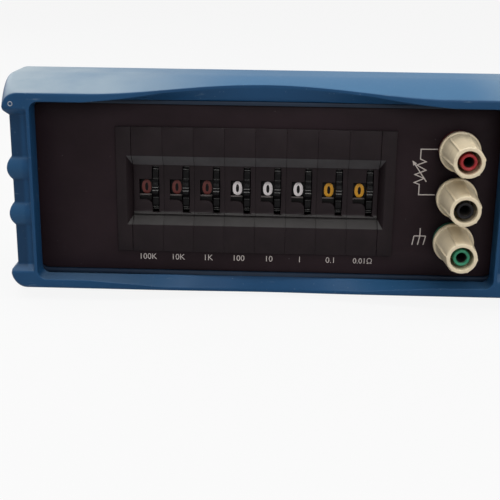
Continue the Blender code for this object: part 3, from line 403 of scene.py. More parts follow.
def socketBrass(colour, centre, boreRadius, boreFloor):  # painted shade: black inside the bore, with tarnish in spots
    look = brassLook
    bare = Sketch(f"{colour} socket brass", Metallic=1.0)
    across, up = bare.fromMiddle("X") - centre[0], bare.fromMiddle("Z") - centre[1]
    radius = (across * across + up * up).work("SQRT")
    inMouth = 1 - bare.fromMiddle("Y").above(-boreFloor + 0.5, 0.3)
    # painted shade: the bore turns black and not metallic inside
    inside = (1 - radius.above(boreRadius + 0.12, 0.08)) * inMouth
    spots = bare.noise(3.5, 4).above(0.58, 0.12)
    tone = bare.blend(spots * 0.6, look["metal"], look["tarnish"])
    bare.set("Base Color", bare.blend(inside, tone, look["inside"]))
    bare.set("Metallic", 1 - inside)
    bare.set("Roughness", bare.noise(1.5, 5, 0.6) * 0.2 + inside * 0.4 + 0.22)
    bare.bump(bare.noise(0.8, 3), 0.004, 0.5)
    return bare.material


cardLook = {"colour": (0.012, 0.075, 0.028), "pale": (0.02, 0.11, 0.045), "track": (0.05, 0.19, 0.07),
            "trackScale": 60.0}


def laminate():
    card = Sketch("card laminate")
    weave = card.noise(0.6, 2, 0.5, card.stretched(1, 1, 3))
    bands = card.add("ShaderNodeTexWave", {"wave_type": "BANDS", "bands_direction": "Z"},
                     {"Vector": card.here, "Scale": cardLook["trackScale"], "Distortion": 1.5,
                      "Detail": 1.0}, "Fac")
    tracks = bands.above(0.8, 0.06)
    tone = card.blend(weave, cardLook["colour"], cardLook["pale"])
    card.set("Base Color", card.blend(tracks * 0.6, tone, cardLook["track"]))
    card.set("Roughness", weave * 0.12 + 0.3)
    card.bump(tracks, 0.03, 0.6)
    return card.material


def ink(name, colour, fade):  # worn thin in spots
    printed = Sketch(name)
    wearAndHighlight = printed.noise(0.5, 4, 0.7).above(0.6, 0.12)
    printed.set("Base Color", printed.blend(wearAndHighlight * fade, colour, tuple(0.35 * c for c in colour)))
    printed.set("Roughness", wearAndHighlight * 0.15 + 0.5)
    return printed.material


rubber, paint, casing, cardGreen = rubberSkin(), panelPaint(), casePlastic(), laminate()
moduleBlack, sillBlack = modulePlastic(moduleLook), modulePlastic(sillLook)
cream, blackPlastic = gloss("cream moulding"), gloss("black moulding")
terminals = {"red": gloss("red moulding"), "black": blackPlastic, "green": gloss("green moulding")}
# painted shade: the red and green bases take darker copies of their plastics
baseTints = {"red": gloss("shaded red moulding"), "black": blackPlastic,
             "green": gloss("shaded green moulding")}
steelMetal = metal("zinc plate", (0.55, 0.55, 0.55), (0.24, 0.24, 0.25), 0.38)
eyeletMetal = metal("dull eyelet", (0.36, 0.39, 0.44), (0.03, 0.04, 0.06), 0.35)
print("materials ready")


boot = {  # millimetres; depths count from the panel's face
    "front": -11.2, "rear": 48.8,             # depths of the two edges
    "edgeHalf": (104.7, 40.3), "flare": (2.3, 5.6), "ridgeFlat": 18.0, "flarePower": 1.5,
    "edgeCorner": 7.0, "ridgeCorner": 3.4,
    "opening": (93.7, 36.8, 3.5), "cavity": (97.2, 37.0, 5.8),  # half width, half height and corner
    "cavityDepths": (-1.5, 46.6), "bead": 1.4, "lipRounds": [0.5, 0.45, 0.35, 0.35],
    "rearRounds": [0.6, 0.4, 0, 0],
    "scallopHalf": 73.0, "scallopDeep": 9.7, "creaseRamp": 31.0, "creaseStrip": 1.3, "creaseSwell": 0.06,
    "rootStep": 0.3, "rootSetback": 1.6, "beadStep": 0.15,
    "recess": 2.1, "recessHalf": 31.0, "recessSoft": 0.25, "sideSetback": 3.0,
    "ribPitch": 19.0, "ribHalf": 4.8, "ribProud": 1.8,
    "edgeRound": 1.2, "longEnd": 86.0, "shortEnd": 32.6, "sideStep": 0.4, "longStep": 1.4,
    "cornerColumns": (5, 14, 22), "lengthRows": 26, "rowsFrom": 2.0, "rowsTo": 1.6,
}
longSide, shortSide = 0, 4  # the first and last of a quarter's five stretches


def flareShare(depth):  # one on the level ridge, falling to zero at the front and rear edges
    middle = (boot["front"] + boot["rear"]) / 2
    slope = (boot["rear"] - boot["front"] - boot["ridgeFlat"]) / 2
    away = np.clip((np.abs(depth - middle) - boot["ridgeFlat"] / 2) / slope, 0, 1)
    return 1 - away ** boot["flarePower"]


def bootColumns():
    # one quarter of the way round: straight down the long side, round the corner, straight up the
    # short side. Each column is (stretch of the quarter, share along it)
    counts = (int(boot["longEnd"] / boot["longStep"]), *boot["cornerColumns"],
              int(boot["shortEnd"] / boot["sideStep"]))
    kinds = np.repeat(np.arange(len(counts)), counts)
    return kinds, np.concatenate([np.linspace(0, 1, count, endpoint=False) for count in counts])


def ring(kinds, shares, depth, halfWidth, halfHeight, corner):
    # a quarter of a rounded rectangle, from the middle of the long side to the middle of the short
    # side, so that every ring has its columns in the same places
    longEnd, shortEnd = boot["longEnd"], boot["shortEnd"]
    angle = shares * math.pi / 2
    straightX = longEnd + (halfWidth - corner - longEnd) * shares
    straightZ = (halfHeight - corner) + (shortEnd - halfHeight + corner) * shares
    wide, high = halfWidth + 0 * shares, halfHeight + 0 * shares
    x = np.choose(kinds, [longEnd * shares, straightX, halfWidth - corner + corner * np.sin(angle),
                          wide, wide])
    z = np.choose(kinds, [high, high, halfHeight - corner + corner * np.cos(angle), straightZ,
                          shortEnd * (1 - shares)])
    return np.stack([x, np.broadcast_to(depth, shares.shape), z], -1)


def outerRing(kinds, shares, depth):
    # the boot's outside: a rounded rectangle that swells to the ridge, with the short sides
    # pressed in between their ramps, and two ribs a side that bulge along circular arcs
    flare = flareShare(depth)
    outline = ring(kinds, shares, depth, boot["edgeHalf"][0] + boot["flare"][0] * flare,
                   boot["edgeHalf"][1] + boot["flare"][1] * flare,
                   boot["edgeCorner"] + (boot["ridgeCorner"] - boot["edgeCorner"]) * flare)
    x, z = outline[..., 0], outline[..., 2]
    limit = boot["edgeHalf"][0] - boot["recess"] + np.maximum(0, z - boot["recessHalf"])
    x = 0.5 * (x + limit - np.sqrt((x - limit) ** 2 + boot["recessSoft"] ** 2))  # the lesser, softened
    outline[..., 0] = x + ribBulge(z) * (kinds == shortSide)
    return outline


def ribBulge(z):  # height of a circular arc over each rib's half height
    arc = (boot["ribHalf"] ** 2 + boot["ribProud"] ** 2) / (2 * boot["ribProud"])
    away = np.abs(np.abs(z) - boot["ribPitch"] / 2)
    inside = np.sqrt(np.maximum(arc ** 2 - away ** 2, 0)) - (arc - boot["ribProud"])
    return np.where(away < boot["ribHalf"], np.maximum(inside, 0), 0)


def bootQuarter():
    # rows from the lip's root over the face, along the outside, round the rear edge and back through
    # the cavity. The face drops to the scallop as half a cosine, (1 + cos(pi away)) / 2, and the
    # crease climbs from the opening towards the outer edge in the scallop's middle
    kinds, shares = bootColumns()
    base = ring(kinds, shares, 0.0, *boot["opening"])
    onLong = kinds == longSide
    away = np.where(onLong, np.abs(base[:, 0]) / boot["scallopHalf"], 1.0)
    drop = np.where(away < 1, (1 + np.cos(math.pi * np.minimum(away, 1))) / 2, 0)
    face = boot["front"] + boot["scallopDeep"] * drop
    root = boot["cavityDepths"][0] - boot["rootStep"] + boot["rootSetback"] * drop

    z = base[:, 2]
    setback = np.clip(boot["sideSetback"] - np.maximum(0, z - boot["recessHalf"]), 0, boot["sideSetback"])
    setback = np.where(kinds >= shortSide - 1, setback, 0)
    outerFront = outerRing(kinds, shares, face)
    outerFront[:, 1] = face + setback - ribBulge(z) * (kinds == shortSide)

    climb = np.where(onLong, np.clip((1 - away) * boot["scallopHalf"] / boot["creaseRamp"], 0, 1), 0)
    climb = climb + boot["creaseSwell"] * np.sin(math.pi * climb)
    rise = (outerFront[:, 2] - boot["creaseStrip"] - boot["opening"][1]) * climb
    inner = ring(kinds, shares, root, *boot["opening"])
    crease = inner.copy()
    crease[:, 1] = face
    crease[:, 2] += np.where(onLong, rise, 0)
    strip = outerFront - crease
    width = np.linalg.norm(strip[:, [0, 2]], axis=1, keepdims=True)
    beadEdge = crease + strip * np.minimum(boot["bead"] / width, 0.4)
    beadEdge[:, 1] = face
    beadFoot = crease + strip * np.minimum((boot["bead"] + boot["beadStep"]) / width, 0.45)
    beadFoot[:, 1] = outerFront[:, 1]

    rows = [inner, crease, beadEdge, beadFoot, outerFront]
    sizes = [*boot["lipRounds"], boot["edgeRound"]]
    start = outerFront[:, 1] + boot["rowsFrom"]
    for share in np.linspace(0, 1, boot["lengthRows"]):
        rows.append(outerRing(kinds, shares, start + (boot["rear"] - boot["rowsTo"] - start) * share))
        sizes.append(0)
    rear, (near, far) = boot["rear"], boot["cavityDepths"]
    rows += [outerRing(kinds, shares, np.full(len(shares), rear)),
             ring(kinds, shares, rear, *boot["opening"]),
             ring(kinds, shares, far, *boot["opening"]),
             ring(kinds, shares, far, *boot["cavity"]),
             ring(kinds, shares, np.maximum(near, root + 0.02), *boot["cavity"])]
    sizes += [boot["edgeRound"], *boot["rearRounds"]]
    return softCorners(np.stack(rows), sizes, 6)


def mirrorAround(quarter):  # the whole way round, from its first quarter and its three mirror images
    def flipped(part, x, z):
        return part * np.array([x, 1, z])
    back = quarter[:, ::-1]
    lastX, lastZ = quarter[:, :1], quarter[:, -1:]
    middle = lastZ.copy()
    middle[..., 2] = 0
    quarters = [quarter, middle, flipped(back, 1, -1)[:, :-1], flipped(lastX, 1, -1),
                flipped(quarter, -1, -1)[:, 1:], flipped(middle, -1, 1), flipped(back, -1, 1)[:, :-1]]
    return np.concatenate(quarters, axis=1)


bootGrid = mirrorAround(bootQuarter())
addGrid("boot", bootGrid, rubber, stands=["protective_boot"], slot="blue_rubber", sharpAngle=70)
print("boot:", bootGrid.shape)


eyelet = {  # a pressed ring in the upper lip's left end; millimetres
    "centre": (-101.0, 35.9), "outer": 1.0, "inner": 0.6, "face": -11.3, "proud": 0.12, "sunk": 0.9,
    "rounds": [0, 0.15, 0.15, 0.15, 0.1, 0], "count": 36,
}


def eyeletGrid():
    # rounded profile (radius, height) turned round an axis that points at the user, with a sunk floor
    e = eyelet
    floor = -e["sunk"] / 2
    profile = np.array([(0, floor), (e["inner"], floor), (e["inner"], e["proud"]),
                        (e["outer"], e["proud"]), (e["outer"], -e["sunk"]), (0, -e["sunk"])])
    rounded = softCorners(profile, e["rounds"], 5, closed=False)
    return turnedGrid(rounded, e["centre"], e["count"], e["face"] + e["proud"])


addGrid("lip_eyelet", eyeletGrid(), eyeletMetal, wrapRows=False, slot="steel")
print("eyelet done")


refining = {  # angles in degrees, and millimetres
    "merge": 0.002, "flatAngle": 1, "sharpAngle": 30, "shadeAngle": 32, "segments": 2,
    "sideBand": 0.01,     # corners this near to a side face move with it
    "moduleWiden": 0.11,  # closes the seam between two modules to a hair
}


def refined(name, node, material, width, slot, body="root", widen=0):
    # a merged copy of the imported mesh, flat faces joined and edges rounded by the width; widen
    # carries its two outer side faces apart
    shape = bmesh.new()
    shape.from_mesh(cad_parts[node].data)
    bmesh.ops.remove_doubles(shape, verts=shape.verts, dist=refining["merge"] * mm)
    if widen:
        low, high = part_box(node)
        band = refining["sideBand"] * mm
        for vertex in shape.verts:
            side = (vertex.co.x > high.x - band) - (vertex.co.x < low.x + band)
            vertex.co.x += side * widen * mm
    bmesh.ops.dissolve_limit(shape, angle_limit=math.radians(refining["flatAngle"]), verts=shape.verts,
                             edges=shape.edges)
    if width:
        sharp = math.radians(refining["sharpAngle"])
        edges = [e for e in shape.edges if len(e.link_faces) == 2 and e.calc_face_angle(0) > sharp]
        bmesh.ops.bevel(shape, geom=edges, offset=width * mm, offset_type="OFFSET",
                        segments=refining["segments"], profile=0.5, affect="EDGES", clamp_overlap=True)
    bmesh.ops.triangulate(shape, faces=[f for f in shape.faces if len(f.verts) > 4])
    mesh = bpy.data.meshes.new(name)
    shape.to_mesh(mesh)
    shape.free()
    addPiece(name, mesh, material, body, [node], slot, sharpAngle=refining["shadeAngle"])


refined("panel", "front_panel", paint, 0.12, "panel_paint")
refined("back_plate", "rear_panel", paint, 0.2, "panel_paint")
for half in ("top", "bottom"):
    refined(f"case_{half}", f"case_{half}_shell", casing, 0.15, "case_plastic")
for number in range(1, 9):
    refined(f"module_{number}", f"switch_module_{number}", moduleBlack, 0.06, "module_plastic",
            widen=refining["moduleWiden"])
    refined(f"card_{number}", f"resistor_card_{number}", cardGreen, 0.1, "card_laminate")
for side in ("left", "right"):
    refined(f"cheek_{side}", f"switch_end_cheek_{side}", moduleBlack, 0.15, "module_plastic")
for height in ("upper", "lower"):
    refined(f"tie_rod_{height}", f"switch_tie_rod_{height}", steelMetal, 0.1, "steel")
for number in range(1, 5):
    refined(f"shell_screw_{number}", f"case_screw_{number}", steelMetal, 0.15, "steel")
for colour, tint in terminals.items():
    wire = "earth" if colour == "green" else colour
    refined(f"{wire}_wire", f"{wire}_lead", tint, 0, f"{colour}_plastic")
    refined(f"{colour}_nut", f"{colour}_terminal_nut", steelMetal, 0.25, "steel")
    refined(f"{colour}_clamp_washer", f"{colour}_terminal_washer", steelMetal, 0.1, "steel",
            body=f"{colour}_washer")
print("solids refined")


backScrews = {  # low round heads at the back plate's corners; millimetres
    "places": [(-89.5, -29.5), (89.5, -29.5), (-89.5, 29.5), (89.5, 29.5)], "head": 2.9, "height": 0.9,
    "socket": 1.35, "sunk": 0.35, "root": -0.6, "rounds": [0, 0.05, 0.12, 0.5, 0.1, 0], "count": 72,
}


def backScrewGrid(centre):
    # (radius, height) profile turned round an axis that points away from the user; the socket's radius
    # is stretched to a hexagon, r = r0 / cos(angle from the middle of the nearest flat)
    s = backScrews
    high, face = s["height"], float(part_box("rear_panel")[1].y - boxZero[1]) / mm
    profile = np.array([(0, s["sunk"]), (s["socket"], s["sunk"]), (s["socket"], high), (s["head"], high),
                        (s["head"], s["root"]), (0, s["root"])])
    hexShare = np.array([1, 1, 1, 0, 0, 0], float)
    rounded = softCorners(np.column_stack([profile, hexShare]), s["rounds"], 5, closed=False)
    angle, flat = fullTurn(s["count"]), math.tau / 6
    away = (angle + flat / 2) % flat - flat / 2
    radius = rounded[:, :1] * (1 + rounded[:, 2:3] * (1 / np.cos(away) - 1))
    return aroundAxis(radius, face + rounded[:, 1:2], angle, centre)


for number, centre in enumerate(backScrews["places"], 1):
    addGrid(f"back_screw_{number}", backScrewGrid(centre), steelMetal, wrapRows=False, slot="steel")
print("back screws done")


terminal = {  # millimetres and degrees; heights count from the panel's face
    "count": 144, "gap": 0.3,  # columns round the axis, and the clearance between moving pieces
    "ribCount": 6, "ribProud": 0.5, "ribHalfAngle": 3.6, "ribTurn": {"red": 11, "black": 15, "green": -5},
    "baseRadius": 8.0, "baseHeight": 3.0, "stemRadius": 5.2, "stemTail": 3.5, "threadRadius": 3.9,
    "flangeRadius": 8.3, "flangeThick": 1.9, "rootRadius": 7.3, "noseRadius": 6.05, "noseHeight": 25.7,
    "recessRadius": 6.9, "recessDeep": 1.2, "mouthRadius": 4.6, "seatHeight": 10.5,
    "sleeveRadius": 3.3, "sleeveMouth": 2.25, "sleeveFoot": 11.2, "sleeveTop": 24.5, "sleeveCap": 0.8,
    "tubeRadius": 2.5, "sleeveBore": 2.8, "tubeTop": 23.4, "boreRadius": 2.0, "boreFloor": 9.0,
    "postTail": -15.0,
}


def terminalCentre(colour):  # x and z of its axis, in millimetres from the panel's middle
    low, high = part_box(f"{colour}_terminal_post")
    return (np.array([(low.x + high.x) / 2, (low.z + high.z) / 2]) - boxZero[[0, 2]]) / mm


def knobGrid(colour, centre):
    # (radius, height) profile round the axis; a rib adds its height times a bell of the angle from
    # its crest, and the third number of the profile says how much of the rib shows there
    t = terminal
    foot = t["baseHeight"] + t["gap"]
    top = foot + t["flangeThick"]
    seat = foot + t["recessDeep"]
    recess, thread = t["recessRadius"] + t["gap"], t["threadRadius"] + t["gap"]
    root, nose, mouth = t["rootRadius"], t["noseHeight"], t["mouthRadius"]
    rows = [  # radius, height, share of the rib, and how far the corner is rounded
        (recess, foot, 0, 0.1), (t["flangeRadius"], foot, 0, 0.35), (t["flangeRadius"], top + 0.25, 0, 0.55),
        (root + 0.3, top + 0.45, 0.3, 0.5), (root - 0.05, top + 2.4, 1, 1.2), (root - 0.5, top + 9, 1, 2.5),
        (t["noseRadius"] + 0.25, nose - 3, 1, 1.5), (t["noseRadius"], nose, 0.5, 0.5), (mouth, nose, 0, 0.25),
        (mouth, t["seatHeight"], 0, 0.2), (thread, t["seatHeight"], 0, 0.1), (thread, seat, 0, 0.1),
        (recess, seat, 0, 0.1)]
    points = np.array(rows)
    profile = softCorners(points[:, :3], points[:, 3], 6)
    angle = fullTurn(t["count"] * 2)
    period = math.tau / t["ribCount"]
    away = (angle - math.radians(t["ribTurn"][colour]) + period / 2) % period - period / 2
    rib = np.exp(-(away / math.radians(t["ribHalfAngle"])) ** 2) * t["ribProud"]
    radius = profile[:, :1] + rib * profile[:, 2:3]
    return aroundAxis(radius, -profile[:, 1:2], angle, centre)


def terminalPieces(colour, tint):
    # base, sleeve and post are turned from rows of (radius, height, how far the corner is rounded)
    t, centre = terminal, terminalCentre(colour)
    hole, bore = t["threadRadius"] + t["gap"], t["boreRadius"]
    foot, top, cap = t["sleeveFoot"] + t["gap"], t["sleeveTop"], t["sleeveTop"] - t["sleeveCap"]
    base = [(hole, t["baseHeight"], 0.2), (t["baseRadius"], t["baseHeight"], 0.5),
            (t["baseRadius"], t["gap"], 0.3), (t["stemRadius"], t["gap"], 0.1),
            (t["stemRadius"], -t["stemTail"], 0.2), (hole, -t["stemTail"], 0.1)]
    sleeve = [(t["sleeveMouth"], top, 0.5), (t["sleeveRadius"], top, 0.6), (t["sleeveRadius"], foot, 0.1),
              (t["sleeveBore"], foot, 0.1), (t["sleeveBore"], cap, 0.1), (bore, cap, 0.1)]
    post = [(0, t["boreFloor"], 0), (bore, t["boreFloor"], 0.1), (bore, t["tubeTop"], 0.15),
            (t["tubeRadius"], t["tubeTop"], 0.15), (t["tubeRadius"], t["sleeveFoot"], 0.1),
            (t["threadRadius"], t["sleeveFoot"], 0.3), (t["threadRadius"], t["postTail"], 0.3),
            (0, t["postTail"], 0)]

    def turned(rows, steps, closed=True):
        rows = np.array(rows, float)
        return turnedGrid(softCorners(rows[:, :2], rows[:, 2], steps, closed), centre, t["count"])

    brass = socketBrass(colour, centre, bore, t["boreFloor"])
    grids = {"base": (turned(base, 6), baseTints[colour], True), "sleeve": (turned(sleeve, 6), tint, True),
             "post": (turned(post, 5, closed=False), brass, False)}
    for piece, (grid, material, closed) in grids.items():
        slot = "brass" if piece == "post" else f"{colour}_plastic"
        addGrid(f"{colour}_{piece}", grid, material, wrapRows=closed,
                stands=[f"{colour}_terminal_{piece}"], slot=slot)
    addGrid(f"{colour}_screw_knob", knobGrid(colour, centre), cream, body=f"{colour}_knob",
            stands=[f"{colour}_terminal_knob"], slot="cream_plastic", sharpAngle=60)


for colour, tint in terminals.items():
    terminalPieces(colour, tint)
print("terminals done")


wheel = {  # millimetres, and shares of a step between two numbers
    "positions": 10, "radius": 14.6, "valley": 1.4, "groove": 0.4, "crownHalf": 0.16, "grooveHalf": 0.06,
    "rimLeft": 7.95, "rimWidth": 2.5, "drumRadius": 10.5, "drumWidth": 5.6, "bore": 1.9, "columns": 480,
    "valleyRidge": 0.22, "valleyRidgeHalf": 0.035, "rounds": [0.1, 0.25, 0, 0.35, 0.35, 0.1],
    "digitHeight": 6.05, "digitWidth": 4.0, "oneWidth": 2.2, "digitBold": 0.036, "digitLift": 0.03,
    "digitThick": 0.05, "longestEdge": 1.2, "modulePitch": 12.7,
}
digitInks = {
    "red": ink("dim red numbers", (0.135, 0.018, 0.012), 0.4),
    "white": ink("white numbers", (0.98, 0.91, 0.91), 0.08),
    "amber": ink("amber numbers", (0.80, 0.37, 0.014), 0.15),
}
digitColours = ["red"] * 3 + ["white"] * 3 + ["amber"] * 2


def wheelPlace(number):  # the module's left edge, and the depth and height of the axle
    low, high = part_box(f"thumbwheel_{number}")
    middle = ((np.array(low) + np.array(high)) / 2 - boxZero) / mm
    left = (low.x - boxZero[0]) / mm - (wheel["rimLeft"] - wheel["drumWidth"])
    return left, middle[1], middle[2]


def toothRadius(angle):
    # the crown's radius, less a soft valley between the teeth and a narrow groove in each crown, and
    # with a small ridge along the bottom of each valley
    share = (angle / math.tau * wheel["positions"] + 0.5) % 1 - 0.5
    away = np.abs(share)
    valley = smoothStep(wheel["crownHalf"], 0.5, away) * wheel["valley"]
    groove = (1 - smoothStep(0, wheel["grooveHalf"], away)) * wheel["groove"]
    ridge = (1 - smoothStep(0, wheel["valleyRidgeHalf"], 0.5 - away)) * wheel["valleyRidge"]
    return wheel["radius"] - valley - groove + ridge


def aroundAxle(x, radius, angle, axleY, axleZ):  # y = axle - r cos a, z = axle + r sin a
    return np.stack([x, axleY - radius * np.cos(angle), axleZ + radius * np.sin(angle)], -1)


def wheelGrid(left, axleY, axleZ):  # section loop of (x, radius) carried round the axle
    angle = fullTurn(wheel["columns"])
    rimLeft = left + wheel["rimLeft"]
    rimRight, drumLeft = rimLeft + wheel["rimWidth"], rimLeft - wheel["drumWidth"]
    tip = toothRadius(angle)
    bore, drum = wheel["bore"] + 0 * angle, wheel["drumRadius"] + 0 * angle
    section = [(drumLeft, bore), (drumLeft, drum), (rimLeft, drum), (rimLeft, tip), (rimRight, tip),
               (rimRight, bore)]
    loop = np.stack([np.stack([x + 0 * angle, radius], -1) for x, radius in section])
    loop = softCorners(loop, wheel["rounds"], 5)
    return aroundAxle(loop[..., 0], loop[..., 1], angle, axleY, axleZ)


def textMesh(text, height, bold=0.0, width=None):
    # letters as a flat mesh whose middle is at zero, in millimetres; x runs right and y up, and each
    # is stretched to the height and, where one is given, to the width
    curve = bpy.data.curves.new("letters", "FONT")
    curve.body = text
    curve.offset = bold
    curve.resolution_u = 6
    flat = inScene("letters", curve)
    bpy.context.view_layer.update()
    mesh = bpy.data.meshes.new_from_object(flat.evaluated_get(bpy.context.evaluated_depsgraph_get()))
    bpy.data.objects.remove(flat)
    shape = bmesh.new()
    shape.from_mesh(mesh)
    bmesh.ops.remove_doubles(shape, verts=shape.verts, dist=letterMerge)
    bmesh.ops.triangulate(shape, faces=shape.faces)
    points = np.array([v.co[:] for v in shape.verts])
    low, high = points.min(0), points.max(0)
    middle, scale = (low + high) / 2, height / (high[1] - low[1])
    across = width / (high[0] - low[0]) if width else scale
    for vertex, co in zip(shape.verts, (points - middle) * (across, scale, 0)):
        vertex.co = co
    return shape


def thicken(shape, depth):  # a flat outline becomes a thin closed plate that rises by depth
    made = bmesh.ops.extrude_face_region(shape, geom=shape.faces[:])
    for item in made["geom"]:
        if isinstance(item, bmesh.types.BMVert):
            item.co.z += depth
    bmesh.ops.recalc_face_normals(shape, faces=shape.faces)
    return shape


def joinShapes(name, parts):  # several (points, faces) arrays as one mesh
    points, faces, offset = [], [], 0
    for somePoints, someFaces in parts:
        points.append(somePoints)
        faces += [tuple(i + offset for i in face) for face in someFaces]
        offset += len(somePoints)
    mesh = bpy.data.meshes.new(name)
    mesh.from_pydata(place(np.concatenate(points)).tolist(), [], faces)
    shape = bmesh.new()
    shape.from_mesh(mesh)
    bmesh.ops.recalc_face_normals(shape, faces=shape.faces)
    shape.to_mesh(mesh)
    shape.free()
    return mesh


def arraysOf(shape):  # its points, and each face's point numbers
    shape.verts.index_update()
    points = np.array([v.co[:] for v in shape.verts])
    faces = [tuple(v.index for v in f.verts) for f in shape.faces]
    return points, faces


def wrapped(points, x, axleY, axleZ, turn):
    # flat (x, y) bent round the drum: angle = turn + y / r, and z lifts it off the drum
    radius = wheel["drumRadius"] + wheel["digitLift"] + points[:, 2]
    angle = turn + points[:, 1] / wheel["drumRadius"]
    return aroundAxle(x + points[:, 0], radius, angle, axleY, axleZ)


def digitShapes():  # thin plates, cut finely enough to bend round the drum
    shapes = []
    for digit in range(wheel["positions"]):
        width = wheel["oneWidth" if digit == 1 else "digitWidth"]
        flat = textMesh(str(digit), wheel["digitHeight"], wheel["digitBold"], width)
        longEdges = [e for e in flat.edges if e.calc_length() > wheel["longestEdge"]]
        bmesh.ops.subdivide_edges(flat, edges=longEdges, cuts=1)
        bmesh.ops.triangulate(flat, faces=flat.faces)
        shapes.append(arraysOf(thicken(flat, wheel["digitThick"])))
        flat.free()
    return shapes


sill = {  # the ledge inside each window that hides the next number; x from the module's left edge
    "left": 2.1, "right": 7.3, "front": 5.0, "back": 5.9, "lip": -3.95, "top": -3.5, "foot": -6.0,
    "rounds": [0, 0.1, 0.1, 0],
}


def sillGrid(left):
    # side outline (depth, height) carried straight across the window and closed to a line at each end
    outline = np.array([(sill["front"], sill["foot"]), (sill["front"], sill["lip"]),
                        (sill["back"], sill["top"]), (sill["back"], sill["foot"])])
    outline = softCorners(outline, sill["rounds"], 4)
    middle = outline.mean(0)
    across = left + np.array([sill["left"], sill["left"], sill["right"], sill["right"]])
    share = np.array([0, 1, 1, 0])[None, :, None]
    section = middle + (outline[:, None, :] - middle) * share
    return np.stack([np.broadcast_to(across, section.shape[:2]), section[..., 0], section[..., 1]], -1)


for number in range(1, 9):
    addGrid(f"window_sill_{number}", sillGrid(wheelPlace(number)[0]), sillBlack, wrapCols=False,
            slot="module_plastic", sharpAngle=25)
print("window sills done")

digits = digitShapes()
wheelBlack = wheelPlastic(*map(float, wheelPlace(1)[1:]), 360 / wheel["positions"])  # all on one axle line
for number in range(1, 9):
    left, axleY, axleZ = wheelPlace(number)
    addGrid(f"wheel_{number}", wheelGrid(left, axleY, axleZ), wheelBlack, body=f"thumbwheel_{number}",
            stands=[f"thumbwheel_{number}"], slot="wheel_plastic")
    middle = left + wheel["rimLeft"] - wheel["drumWidth"] / 2
    step = math.tau / wheel["positions"]
    parts = [(wrapped(points, middle, axleY, axleZ, digit * step), faces)
             for digit, (points, faces) in enumerate(digits)]
    addPiece(f"numbers_{number}", joinShapes(f"numbers_{number}", parts),
             digitInks[digitColours[number - 1]], body=f"thumbwheel_{number}")
print("wheels done")


printing = {  # millimetres from the middle of the panel
    "labels": ["100K", "10K", "1K", "100", "10", "1", "0.1", "0.01Ω"], "labelHeight": 2.45,
    "labelDrop": -29.25, "lastShift": 0.9, "bold": -0.003, "lift": 0.02, "thick": 0.03, "stroke": 0.42,
    "layers": (1.0, 1.2, 1.4),  # strokes that cross lie at different heights
    "resistor": [(69.3, 18.7), (62.5, 18.65), (62.5, 14.6), (64.85, 13.5), (61.2, 12.1), (65.0, 10.0),
                 (60.65, 8.15), (64.45, 6.6), (60.55, 4.8), (62.65, 4.05), (62.65, -0.3), (69.3, -0.2)],
    "arrowFoot": (65.45, 5.2), "arrowTip": (59.4, 13.85), "arrowWidth": 1.7, "arrowLength": 1.9,
    "arrowPoint": 0.05,
    "earthStem": [(64.25, -14.5), (64.25, -17.9)], "earthBar": [(61.85, -17.9), (66.65, -17.85)],
    "earthFeet": [(61.2, -21.75), (63.5, -21.7), (65.8, -21.65)],
}
panelInk = ink("panel print", (0.56, 0.50, 0.47), 0.2)


def onPanel(points, x, z):  # flat letters stood up on the panel's face
    return np.stack([x + points[:, 0], -printing["lift"] - points[:, 2], z + points[:, 1]], -1)


def ribbon(line, widths, thick):
    # a flat band along a line of points, mitred at its bends: each point's two edges lie along the
    # sum of its neighbours' normals, stretched so that the band keeps its width
    line = np.array(line, float)
    run = np.diff(line, axis=0)
    run /= np.linalg.norm(run, axis=1, keepdims=True)
    normal = np.stack([-run[:, 1], run[:, 0]], -1)
    first, second = np.vstack([normal[:1], normal]), np.vstack([normal, normal[-1:]])
    mitre = (first + second) / (1 + (first * second).sum(1, keepdims=True))
    half = np.broadcast_to(np.array(widths, float) / 2, len(line))[:, None]
    left, right = line + mitre * half, line - mitre * half
    low, high = -printing["lift"], -printing["lift"] - thick
    count = len(line)
    flat = np.concatenate([left, right, left, right])
    depth = np.repeat([low, low, high, high], count)
    points = np.stack([flat[:, 0], depth, flat[:, 1]], -1)
    faces = []
    for k in range(count - 1):
        for a, b in ((0, 1), (1, 3), (3, 2), (2, 0)):
            faces.append((a * count + k, a * count + k + 1, b * count + k + 1, b * count + k))
    faces += [(0, count, 3 * count, 2 * count),
              (count - 1, 3 * count - 1, 4 * count - 1, 2 * count - 1)]
    return points, faces


labels = []
for number, word in enumerate(printing["labels"], 1):
    letters = textMesh(word, printing["labelHeight"], printing["bold"])
    points, faces = arraysOf(thicken(letters, printing["thick"]))
    letters.free()
    shift = printing["lastShift"] if number == len(printing["labels"]) else 0
    middle = wheelPlace(number)[0] + wheel["modulePitch"] / 2 + shift
    labels.append((onPanel(points, middle, printing["labelDrop"]), faces))
addPiece("range_numbers", joinShapes("range_numbers", labels), panelInk)

tip, arrowFoot = np.array(printing["arrowTip"]), np.array(printing["arrowFoot"])
along = (arrowFoot - tip) / np.linalg.norm(arrowFoot - tip)
headFoot = tip + along * printing["arrowLength"]
stroke = printing["stroke"]
low, middle, high = (printing["thick"] * layer for layer in printing["layers"])
symbols = [ribbon(printing["resistor"], stroke, low), ribbon([arrowFoot, headFoot], stroke, middle),
           ribbon([headFoot, tip], [printing["arrowWidth"], printing["arrowPoint"]], high),
           ribbon(printing["earthBar"], stroke, low), ribbon(printing["earthStem"], stroke, middle)]
barStart, barEnd = np.array(printing["earthBar"])
for share, foot in zip((0, 0.5, 1), printing["earthFeet"]):
    symbols.append(ribbon([barStart + (barEnd - barStart) * share, foot], stroke, high))
addPiece("circuit_symbols", joinShapes("circuit_symbols", symbols), panelInk)
print("panel print done")


